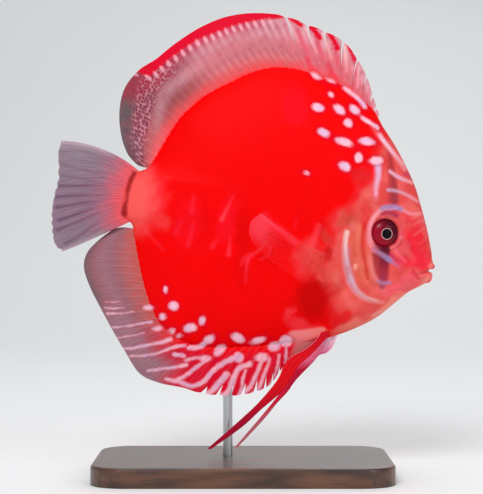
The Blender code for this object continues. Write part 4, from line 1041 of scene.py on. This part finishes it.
def make_dorsal():
    bearing = columns_round(DORSAL[0][0], DORSAL[-1][0], 620, DORSAL_SLITS)
    b, v = np.meshgrid(bearing, np.linspace(0, 1, 46), indexing="ij")
    reach = slit_reach(b, DORSAL_SLITS, DORSAL_DIP)
    out = v * reach
    grown = smoothstep(0, 30, np.abs(b - DORSAL_SOFT)) * (b > DORSAL_SOFT)
    sway = 2.0 * grown * out * out * np.sin(np.radians(b - DORSAL_SOFT) * 5)
    middle, length = edge_fin_middle(DORSAL, b, out, 0.8 + 0.2 * smoothstep(78, 88, b), sway)
    soft = smoothstep(81.6, 83.5, b)
    phase = (b - DORSAL_SOFT) / (DORSAL[-1][0] - DORSAL_SOFT) * DORSAL_RAYS
    ridge = ray_ridges(phase, out, 0.42) * soft
    spines = spines_beside(b, out, DORSAL_SLITS + [DORSAL_FRONT_SPINE], 2.3, 1.35) * (1 - soft)
    x, z, edge = middle[..., 0], middle[..., 2], (reach - out) * length
    start, end = woven_reach(b)
    woven = smoothstep(start - 0.05, start + 0.07, out) * (1 - smoothstep(end - 0.08, end + 0.08, out))
    margin = np.minimum(crimson_distance(x, z), edge - 0.9 + 0.75 * np.abs(b - 74))
    values = web_values(
        dorsal_colour(x, z, out, b), (0.78, 0.66, 0.72), (0.8, 0.14),
        phase=np.where(b > DORSAL_SOFT, phase, b * 0.9), out=out, edge=edge,
        ridge=np.maximum(ridge, spines * 2.2), margin=margin + 9 * smoothstep(140, 147, b),
        woven=smoothstep(124, 138, b) * woven,
        beaded=smoothstep(84, 90, b) * (1 - smoothstep(146, 152, b)),
        clear=smoothstep(134, 146, b) * smoothstep(0.7, 0.9, out), **mark_distances(x, z))

    def clear(paint, ridge, grain):
        return 1 - paint.held("clear") * (1 - ridge * 0.8) * 0.22

    fin_sheet("upper_fin", middle, edge_fin_half(out, v, ridge, spines), values,
              membrane("dorsal_web", 0.35, flecked=True, clear=clear), "fin",
              "dorsal_fin_spiny", "dorsal_fin_soft")


make_dorsal()

# %% [markdown]
# ## The lower fin
#
# The lower fin mirrors the upper one: short flaps on spines ahead, soft rays behind. White stripes run from
# the belly out to its edge with crimson between them, and its rear half is a soft greyish pink.

# %% Lower fin
ANAL = [
    (281.5, 8.6, -58.6), (278.0, 4.6, -61.6), (273.0, -1.4, -64.4), (268.0, -6.5, -71.5),
    (264.0, -10.2, -76.8), (260.5, -15.5, -79.6), (256.5, -23.6, -81.4), (252.5, -32.0, -81.6),
    (249.0, -39.6, -80.4), (245.0, -46.5, -77.6), (238.4, -57.0, -75.3), (232.5, -65.2, -71.2),
    (226.9, -71.4, -61.6), (221.0, -76.6, -52.8), (215.6, -81.2, -44.4), (209.0, -86.0, -35.0),
    (203.0, -88.6, -27.0), (197.5, -87.4, -20.8), (192.5, -82.8, -15.6), (189.6, -76.4, -10.8),
]
ANAL_SLITS = [(249.4, 0.1, 0.5), (252.2, 0.16, 0.34), (254.7, 0.16, 0.34), (257.3, 0.18, 0.34),
              (259.9, 0.2, 0.34), (262.4, 0.2, 0.34), (264.8, 0.2, 0.34), (268.0, 0.16, 0.34)]
ANAL_SOFT, ANAL_RAYS, ANAL_DIP = 249.6, 24, 0.05


def anal_colour(x, z, out, bearing):
    """The lower fin's broad colours: crimson ahead, greyish pink behind, salmon near the body."""
    coat = coat_of((182, 112, 118), x)
    lay(coat, (204, 96, 92), 1 - smoothstep(0.08, 0.5, out + wander(x, z, 6.0) * 0.08))
    lay(coat, (188, 132, 150), hump(out, 0.66, 0.16) * 0.8)
    lay(coat, (124, 106, 116), smoothstep(0.8, 1.0, out) * 0.75)
    lay(coat, (186, 138, 152), smoothstep(212, 220, bearing) * smoothstep(0.45, 0.8, out) * 0.8)
    red = smoothstep(218, 236, bearing)
    coat *= (0.88 - 0.22 * smoothstep(0.2, 0.6, out))[..., None]
    lay(coat, (204, 20, 54), red * (1 - smoothstep(0.35, 0.75, out) * (1 - smoothstep(236, 246, bearing))))
    lay(coat, (222, 0, 42), smoothstep(234, 244, bearing) * (1 - smoothstep(0.86, 1.0, out) * 0.6))
    lay(coat, (196, 112, 110), smoothstep(271, 275, bearing) * 0.9)
    lay(coat, (255, 150, 156), smoothstep(270, 275, bearing) * (1 - smoothstep(0.2, 0.5, out)) * 0.9)
    lay(coat, (249, 2, 8), (1 - smoothstep(0.04, 0.4, out)) * red * (1 - smoothstep(269, 273, bearing)))
    return coat


def make_anal():
    bearing = columns_round(ANAL[-1][0], ANAL[0][0], 560, ANAL_SLITS)[::-1]
    b, v = np.meshgrid(bearing, np.linspace(0, 1, 44), indexing="ij")
    reach = slit_reach(b, ANAL_SLITS, ANAL_DIP)
    out = v * reach
    sway = 1.8 * smoothstep(0, 30, ANAL_SOFT - b) * out * out * np.sin(np.radians(b - 250.0) * 4.5)
    middle, length = edge_fin_middle(ANAL, b, out, -1.0 + 0.2 * smoothstep(246, 252, b), sway)
    soft = 1 - smoothstep(248.5, 250, b)
    phase = (b - ANAL[-1][0]) / (ANAL_SOFT - ANAL[-1][0]) * ANAL_RAYS
    ridge = ray_ridges(phase, out, 0.4) * soft
    spines = spines_beside(b, out, ANAL_SLITS, -2.2, 1.2) * (1 - soft)
    x, z = middle[..., 0], middle[..., 2]
    values = web_values(
        anal_colour(x, z, out, b), (0.8, 0.62, 0.72), (0.8, 0.12), phase=phase, out=out,
        ridge=np.maximum(ridge, spines), edge=(reach - out) * length, **mark_distances(x, z))
    fin_sheet("lower_fin", middle, edge_fin_half(out, v, ridge, spines), values,
              membrane("anal_web", 0.45), "fin", "anal_fin_spiny", "anal_fin_soft")


make_anal()

# %% [markdown]
# ## The tail fin
#
# The tail fin is a soft fan that opens behind a narrow root. Salmon runs out from the root and turns to a
# grey lilac, with dark purple streaks between the middle rays and a pale rim.

# %% Tail fin
CAUDAL = [
    (168.6, -98.4, 26.7), (169.8, -99.8, 22.4), (171.4, -99.7, 16.0), (173.2, -99.8, 9.8),
    (175.2, -101.3, 4.2), (177.2, -102.4, -1.5), (179.2, -102.6, -7.0), (181.3, -102.3, -12.5),
    (183.6, -101.2, -17.3), (185.8, -97.8, -20.1),
]
CAUDAL_RAYS, CAUDAL_RIDGE, CAUDAL_ROOT_HALF = 14, 0.34, TAIL_RIM_HALF - 0.6
TAIL_STROKES = [
    ((92, 64, 92), (140, 70, 100), cover, (1.6, 0.8), *line) for cover, *line in (
        (0.35, (42, 199), (70, 206.5), (98, 216)), (0.45, (41, 211), (72, 216.5), (99, 223.6)),
        (0.8, (39, 223), (70, 223), (101, 225)), (0.8, (36, 235), (66, 233.5), (97, 231.5)),
        (0.9, (36, 247), (66, 242), (97, 236)), (0.9, (39, 261), (66, 252), (94, 242)),
        (0.8, (37, 272), (60, 263), (86, 251)), (0.7, (46, 287), (64, 277), (85, 261)),
    )
]


def caudal_colour(x, z, out, share):
    """The tail fin's colours: salmon at the root, then lilac grey with dark streaks and a pale rim."""
    coat = coat_of((140, 120, 132), x)
    lay(coat, (142, 100, 126), hump(share, 0.55, 0.3) * 0.5)
    lay_strokes(coat, x, z, TAIL_STROKES)
    uneven = out + wander(x, z, 8.0) * 0.03
    lay(coat, (170, 104, 124), (1 - smoothstep(0.25, 0.62, uneven)) * 0.7)
    lay(coat, (206, 96, 112), 1 - smoothstep(0.16, 0.4, uneven))
    lay(coat, (236, 88, 96), 1 - smoothstep(0.04, 0.24, uneven))
    lay(coat, (178, 164, 174), smoothstep(0.97, 1.0, out) * 0.8)
    outer_rays = np.maximum(hump(share, 0, 0.035), hump(share, 1, 0.035))
    lay(coat, (184, 158, 168), outer_rays * smoothstep(0.3, 0.5, out))
    return coat


def make_caudal():
    first, last = CAUDAL[0][0], CAUDAL[-1][0]
    b, v = np.meshgrid(np.linspace(first, last, 330), np.linspace(0, 1, 64), indexing="ij")
    share = (b - first) / (last - first)
    ragged = 0.005 * np.cos(share * pi * CAUDAL_RAYS * 2) + 0.005 * np.sin(share * 71.0)
    out = v * (0.99 + ragged * v)
    sway = 2.4 * out * out + 0.7 * out * out * np.sin(np.radians(b - (first + last) / 2) * 20)
    middle, length = edge_fin_middle(CAUDAL, b, out, -3.2 + 3.6 * share, sway)
    ridge = ray_ridges(share * CAUDAL_RAYS, out, 0.25)
    half = EDGE_HALF + (CAUDAL_ROOT_HALF - EDGE_HALF) * (1 - np.clip(out, 0, 1)) ** 2.6
    half += WEB_HALF * (1 - v**6)
    half += CAUDAL_RIDGE * ridge * smoothstep(0, 0.12, out) * (1 - 0.55 * out) * (1 - v**8)
    x, z = middle[..., 0], middle[..., 2]
    values = web_values(
        caudal_colour(x, z, out, share), (0.6, 0.5, 0.6), (0.7, 0.24), phase=share * CAUDAL_RAYS, out=out,
        ridge=ridge, edge=(1 - out) * length, **mark_distances(x, z))
    fin_sheet("tail_fin", middle, half, values, membrane("caudal_web", 0.6), "tail_fin", "caudal_fin")


make_caudal()

# %% [markdown]
# ## The side fins
#
# Behind each gill cover a clear fan beats to hold the fish still. Its web is nearly invisible over the red
# flank, and only its rays and its salmon root catch the eye. So the web is mostly see-through and the rays
# less so.

# %% Side fins
PECTORAL_ROOT = [(15.6, -21.6), (15.2, -27.0), (14.0, -32.6)]
PECTORAL = [
    (0.0, -14.0, -4.4), (0.16, -18.0, -7.4), (0.36, -19.0, -12.4), (0.56, -16.8, -17.4), (0.76, -10.5, -23.6),
    (0.9, -2.5, -29.2), (1.0, 5.5, -33.2),
]
PECTORAL_RAYS, PECTORAL_RIDGE, PECTORAL_LENGTH = 10, 0.26, 25
TO_LEFT = np.array([1, -1, 1])


def flank_out(x, z, out):
    """Points out from the right flank."""
    return np.stack([x, -(half_thickness(x, z) + out), z], -1)


def make_pectorals():
    u, v = np.meshgrid(np.linspace(0, 1, 150), np.linspace(0, 1, 44), indexing="ij")
    root, tip = line_track(PECTORAL_ROOT).at(u), Track(PECTORAL).at(u)
    spot = root + (tip - root) * v[..., None]
    bend = 2.6 * (1 - u) * 4 * v * (1 - v)
    x, z = spot[..., 0] + 0.25 * bend, spot[..., 1] - bend
    out = -1.0 + 2.4 * smoothstep(0, 0.12, v) + 5.5 * v + 0.5 * v * np.sin(u * 9)
    middle = flank_out(x, z, out)
    ridge = ray_ridges(u * PECTORAL_RAYS, v, 0.45)
    half = EDGE_HALF + 0.55 * (1 - v) ** 2 + 0.08 * (1 - v**6)
    half += PECTORAL_RIDGE * ridge * smoothstep(0, 0.12, v) * (1 - 0.6 * v) * (1 - v**8)
    coat = coat_of((252, 40, 50), x)
    lay(coat, (238, 84, 76), 1 - smoothstep(0.25, 0.55, v))
    lay(coat, (252, 70, 92), smoothstep(0.5, 0.9, v) * (1 - smoothstep(0.2, 0.6, u)))
    patchy = np.clip(0.6 + 0.5 * wander(x, z, 8.0), 0, 1)
    seen = smoothstep(0.02, 0.22, v) * (1 - smoothstep(0.2, 0.5, v)) * patchy * 0.8
    seen = seen + hump(u, 0, 0.05) * smoothstep(0.06, 0.35, v) * 0.6
    seen = seen + smoothstep(0.6, 0.95, v) * (1 - smoothstep(0.25, 0.7, u)) * 0.5
    values = web_values(coat, (0.95, 0.6, 0.6), (0.85, 0.1), phase=u * PECTORAL_RAYS, out=v, ridge=ridge,
                        edge=(1 - v) * PECTORAL_LENGTH, seen=seen)

    def clear(paint, ridge, grain):
        rays = (ridge + grain) * paint.ease(paint.held("out"), 0.0, 0.2)
        return 0.02 + paint.held("seen") * 0.5 + rays * 0.05

    finish = membrane("pectoral_web", 0.3, patterned=False, clear=clear, roughness=0.5)
    fin_sheet("side_fin_right", middle, half, values, finish, "clear_fin", "pectoral_fin_right")
    fin_sheet("side_fin_left", middle * TO_LEFT, half, values, finish, "clear_fin", "pectoral_fin_left")


make_pectorals()

# %% [markdown]
# ## The breast fins
#
# Two long fins trail from the breast. Each has a strong spine along its front, two or three rays behind it,
# and ends in a thread. The near one is deep red with a pale upper edge; the far one is pearly at its root.

# %% Breast fins
PELVIC_RIGHT_FRONT = [(15.2, -51.3), (13.8, -55.9), (10.6, -59.7), (6.8, -63.5), (2.4, -67.3), (-0.2, -71.1),
                      (-5.5, -78.7), (-14.1, -86.3), (-22.4, -93.9), (-35.2, -103.0)]
PELVIC_RIGHT_REAR = [(11.8, -52.1), (9.9, -55.9), (6.8, -59.3), (3.0, -61.9), (-1.1, -63.8), (-4.6, -68.0),
                     (-7.2, -73.7), (-14.4, -82.5), (-22.6, -90.4), (-36.4, -102.6)]
PELVIC_LEFT_FRONT = [(19.0, -51.3), (18.5, -55.0), (16.5, -59.9), (13.7, -62.9), (10.8, -63.9), (7.6, -67.4),
                     (0.8, -74.5), (-2.7, -79.4), (-7.2, -84.2), (-13.3, -91.6), (-24.0, -102.9)]
PELVIC_LEFT_REAR = [(13.0, -51.3), (12.0, -55.0), (8.4, -60.4), (2.8, -65.6), (-2.4, -73.0), (-6.2, -80.2),
                    (-14.6, -90.6), (-25.0, -102.7)]
PELVIC_RAYS, PELVIC_LENGTH, PELVIC_ROOT_OUT = 3, 70, 2.2


def make_pelvic(name, front, rear, side, spread, colours, node, slot):
    """One breast fin. colours are its root's, rows of (colour, start, full), and its rear edge's."""
    v, u = np.meshgrid(np.linspace(0, 1, 190), np.linspace(0, 1, 46), indexing="ij")
    front_at, rear_at = line_track(front).at(v), line_track(rear).at(v)
    x, z = np.moveaxis(front_at + (rear_at - front_at) * u[..., None], -1, 0)
    out = PELVIC_ROOT_OUT + (spread - PELVIC_ROOT_OUT) * smoothstep(0.02, 0.35, v)
    out = out - 0.9 * smoothstep(0.5, 1.0, v)
    middle = np.stack([x, side * (out + 0.5 * u * np.sin(pi * v)), z], -1)
    ridge = ray_ridges(u * PELVIC_RAYS, v, 0.3, width=0.16) * (1 - 0.6 * v)
    half = 0.2 + 0.5 * (1 - v) ** 2 + 0.22 * (1 - u) * (1 - v) + RIDGE * ridge * (1 - v)
    half = half * (0.35 + 0.65 * np.sqrt(np.clip(1 - (2 * u - 1) ** 8, 0, 1)))
    root, rows, edge = colours
    coat = coat_of(root, v)
    for colour, start, full in rows:
        lay(coat, colour, smoothstep(start, full, v + 0.04 * wander(u, v, 1.3)))
    lay(coat, edge, smoothstep(0.9, 0.98, u) * (1 - smoothstep(0.16, 0.3, v)))
    values = web_values(coat, (0.75, 0.45, 0.55), (0.85, 0.06), phase=u * PELVIC_RAYS, out=v, ridge=ridge,
                        edge=(1 - v) * PELVIC_LENGTH)
    fin_sheet(name, middle, half, values, membrane(name + "_web", 0.4, patterned=False), slot, node)


RED_FIN = ((206, 0, 30), [((222, 0, 18), 0.1, 0.3), ((178, 6, 46), 0.4, 0.75)], (248, 130, 152))
PEARLY_FIN = ((250, 206, 230), [((246, 122, 160), 0.08, 0.2), ((222, 30, 72), 0.26, 0.38),
                                ((222, 116, 132), 0.6, 0.8)], (200, 20, 60))
make_pelvic("breast_fin_right", PELVIC_RIGHT_FRONT, PELVIC_RIGHT_REAR, -1, 4.6, RED_FIN,
            "pelvic_fin_right", "red_fin")
make_pelvic("breast_fin_left", PELVIC_LEFT_FRONT, PELVIC_LEFT_REAR, 1, 2.9, PEARLY_FIN,
            "pelvic_fin_left", "fin")

# %% [markdown]
# ## The eyes
#
# A fish's eye has no lid: a round, wet dome in a soft rim. The iris is deep crimson with fine threads that
# run out from the pupil, and a thin pale ring lies round the pupil's edge. Light and shade are painted over
# the iris, lighter at its rear and bottom and darker at its front and top. Each eye is a dome of rings with
# the pupil set a little forward, and a clear coat gives the wet look.

# %% Eyes
EYE_DEPTH, EYE_SINK, EYE_RINGS, EYE_COLUMNS = 3.3, 1.6, 64, 96
PUPIL_SHIFT, PUPIL_RADIUS, BEHIND = (0.35, -0.45), 2.2, 9.0


def eye_finish():
    paint = Paint("discus_eye")
    gap, angle, lit = paint.held("pupil"), paint.held("round"), paint.held("lit")
    across, up = paint.math("COSINE", angle) * 6.0, paint.math("SINE", angle) * 6.0
    threads = paint.noise(paint.along(across, up, gap * 0.15), 3.0, 4.0)
    # The iris is painted lighter towards its rear and bottom and darker towards its front and top: painted
    # light and shade.
    iris = paint.mix(lit, tint(70, 0, 24), tint(160, 0, 34))
    iris = paint.mix(paint.ease(threads, 0.35, 0.7) * 0.5, iris, tint(96, 0, 24))
    colour = paint.mix(paint.ease(gap, -0.12, 0.02), tint(3, 1, 3), tint(226, 170, 168))
    colour = paint.mix(paint.ease(gap + (threads - 0.5) * 0.16, 0.1, 0.26), colour, iris)
    colour = paint.mix(paint.ease(paint.held("rim"), 0.9, 1.0), colour, tint(88, 2, 26))
    height = threads * paint.ease(gap, 0.2, 0.6) + paint.noise(paint.place(), 3000.0) * 0.1
    bump = paint.bump(0.35, 0.15 * MM, height)
    return paint.wear(Base_Color=colour, Roughness=0.22 + threads * 0.1, Normal=bump,
                      Coat_Weight=paint.ease(gap, -0.1, 0.1) * 0.09 + 0.03, Coat_Roughness=0.04,
                      Specular_IOR_Level=0.1)


def flank_outward(x, z, step=0.5):
    """The direction straight out of the right flank."""
    along = flank_out(x + step, z, 0) - flank_out(x - step, z, 0)
    up = flank_out(x, z + step, 0) - flank_out(x, z - step, 0)
    out = np.cross(along, up)
    return Vector(out / np.linalg.norm(out))


def make_eye(name, side, finish, node):
    centre = np.float64(EYE_CENTRE)
    outward = flank_outward(*centre)
    turn = np.array(Vector((0, -1, 0)).rotation_difference(outward).to_matrix())
    middle = flank_out(*centre, 0) - np.array(outward) * EYE_SINK
    angle, tilt = np.meshgrid(np.linspace(0, 2 * pi, EYE_COLUMNS, endpoint=False),
                              np.linspace(0.012, 0.72, EYE_RINGS) * pi)
    across, up, out = np.sin(tilt) * np.cos(angle), np.sin(tilt) * np.sin(angle), np.cos(tilt)
    px, pz = across * EYE_RADII[0], up * EYE_RADII[1]
    gap = np.hypot(px - PUPIL_SHIFT[0], pz - PUPIL_SHIFT[1]) - PUPIL_RADIUS
    gap = np.where(out > 0, gap, BEHIND)
    rise = 0.12 * hump(gap, 0.15, 0.22) - 0.1 * smoothstep(0.1, -0.6, gap) * (gap < 0.1)
    local = np.stack([px, -(out * EYE_DEPTH + rise), pz], -1).reshape(-1, 3)
    local = np.vstack([local, [[0, -EYE_DEPTH, 0], [0, local[-1, 1], 0]]])
    points = (local @ turn.T + middle) * np.array([1, side, 1])
    faces = ring_faces(EYE_RINGS, EYE_COLUMNS)
    if side < 0:
        faces = [face[::-1] for face in faces]

    def ends(value, first, last):
        return np.concatenate([value.ravel(), [first, last]])

    # How lit the iris is painted, from 1 at its rear and bottom to 0 at its front and top: painted light and
    # shade.
    lit = 1 - smoothstep(-4.5, 5.0, px + pz * 0.55)
    values = {
        "pupil": ends(gap, -PUPIL_RADIUS + 0.8, BEHIND), "round": ends(angle, 0, 0),
        "lit": ends(lit, 0.5, 0.5), "rim": ends(np.where(out > 0, np.sin(tilt), 1.0), 0, 1),
    }
    piece(name, points, faces, values, finish, "eye", node)


wet_eye = eye_finish()
make_eye("eyeball_right", 1, wet_eye, "eye_right")
make_eye("eyeball_left", -1, wet_eye, "eye_left")

# %% [markdown]
# ## The stand
#
# The base is walnut with a thin satin lacquer, and the rod is brushed steel. Their solids are right as they
# are, so they keep them and only get their finish. Wood grain is a noise drawn out along the board; brush
# marks are a noise drawn out along the rod.

# %% Wood and steel
def walnut():
    paint = Paint("stand_walnut")
    figure = paint.noise(paint.stretched(9.0, 60.0, 60.0), 3.0, 6.0)
    pores = paint.noise(paint.stretched(60.0, 1400.0, 900.0), 1.0, 2.0)
    colour = paint.mix(paint.ease(figure, 0.3, 0.7), tint(46, 26, 18), tint(104, 66, 44))
    colour = paint.mix(paint.ease(pores, 0.58, 0.75) * 0.6, colour, tint(24, 13, 9))
    bump = paint.bump(0.2, 0.1 * MM, 1 - pores)
    return paint.wear(Base_Color=colour, Roughness=0.3 + figure * 0.15, Normal=bump, Coat_Weight=0.25,
                      Coat_Roughness=0.2)


def brushed_steel():
    paint = Paint("stand_rod_steel")
    lines = paint.noise(paint.stretched(4000.0, 4000.0, 60.0), 1.0, 3.0)
    colour = paint.mix(lines, tint(172, 174, 178), tint(214, 216, 220))
    bump = paint.bump(0.12, 0.05 * MM, lines)
    return paint.wear(Base_Color=colour, Metallic=1.0, Roughness=0.24 + lines * 0.16, Normal=bump)


for node, finish in (("stand_base", walnut()), ("stand_rod", brushed_steel())):
    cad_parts[node].data.materials[0] = finish
    print(node, "wears", finish.name)

# %% [markdown]
# ## Studio
#
# The fish is shown on a pale sweep: a floor that curves up into a wall, so no line cuts behind it. Broad,
# soft lamps light it evenly, as the photograph does, with the strongest in front and above. The camera
# looks square at the right side, as the photograph's did, from far enough away that the fish is hardly
# foreshortened.

# %% Floor, lamps and camera
FLOOR_WIDTH, FLOOR_AHEAD, WALL_BEHIND, WALL_HEIGHT, SWEEP = 5.0, 2.2, 1.6, 3.2, 0.7
FRAME_HEIGHT, FRAME_MIDDLE = 0.2080, (-0.0006, 0.0962)
CAMERA_AWAY, LONG_SIDE = 0.70, 36.0
LAMPS = [
    ("key_lamp", (-0.35, -1.1, 1.0), 0.10, 0.6, 10.5), ("fill_lamp", (0.9, -1.0, 0.5), 0.10, 0.8, 3.5),
    ("top_lamp", (0.0, 0.15, 1.3), 0.10, 0.8, 4.0), ("back_lamp", (0.3, 1.2, 1.0), 0.12, 0.8, 3.0),
]
SKY_COLOUR, SKY_STRENGTH = (0.95, 0.97, 1.0, 1), 0.4


def pale_sweep():
    """A floor that curves up into a wall."""
    turns = np.linspace(0, pi / 2, 24)
    curve = [(WALL_BEHIND - SWEEP + SWEEP * sin(t), SWEEP - SWEEP * cos(t)) for t in turns]
    profile = [(-FLOOR_AHEAD, 0.0), *curve, (WALL_BEHIND, WALL_HEIGHT)]
    points = [(x * FLOOR_WIDTH / 2, y, z) for y, z in profile for x in (-1, 1)]
    faces = [(2 * i, 2 * i + 1, 2 * i + 3, 2 * i + 2) for i in range(len(profile) - 1)]
    mesh = bpy.data.meshes.new("sweep")
    mesh.from_pydata(points, [], faces)
    mesh.shade_smooth()
    paint = Paint("pale_paper")
    colour = paint.mix(paint.noise(paint.place(), 3.0), tint(238, 239, 240), tint(243, 244, 244))
    mesh.materials.append(paint.wear(Base_Color=colour, Roughness=0.9, Specular_IOR_Level=0.1))
    sweep = bpy.data.objects.new("sweep", mesh)
    bpy.context.scene.collection.objects.link(sweep)


def lamp(name, place, aim_height, size, power):
    """A broad soft lamp that looks at a point over the middle of the base."""
    light = bpy.data.lights.new(name, "AREA")
    light.shape, light.size, light.energy = "DISK", size, power
    shown = bpy.data.objects.new(name, light)
    shown.location = place
    shown.rotation_euler = (Vector((0, 0, aim_height)) - Vector(place)).to_track_quat("-Z", "Y").to_euler()
    bpy.context.scene.collection.objects.link(shown)


def camera():
    lens = bpy.data.cameras.new("camera")
    lens.sensor_width = LONG_SIDE
    lens.lens = LONG_SIDE * CAMERA_AWAY / FRAME_HEIGHT
    lens.clip_start = 0.01
    shown = bpy.data.objects.new("camera", lens)
    shown.location = (FRAME_MIDDLE[0], -CAMERA_AWAY, FRAME_MIDDLE[1])
    shown.rotation_euler = (pi / 2, 0, 0)
    bpy.context.scene.collection.objects.link(shown)
    bpy.context.scene.camera = shown


pale_sweep()
for row in LAMPS:
    lamp(*row)
camera()
world = bpy.data.worlds.new("soft_light")
world.use_nodes = True
sky = world.node_tree.nodes["Background"].inputs
sky["Color"].default_value, sky["Strength"].default_value = SKY_COLOUR, SKY_STRENGTH
bpy.context.scene.world = world
bpy.context.scene.view_settings.view_transform = "Standard"
bpy.context.scene.view_settings.look = "None"
print("camera", CAMERA_AWAY, "m away;", len(LAMPS), "lamps")
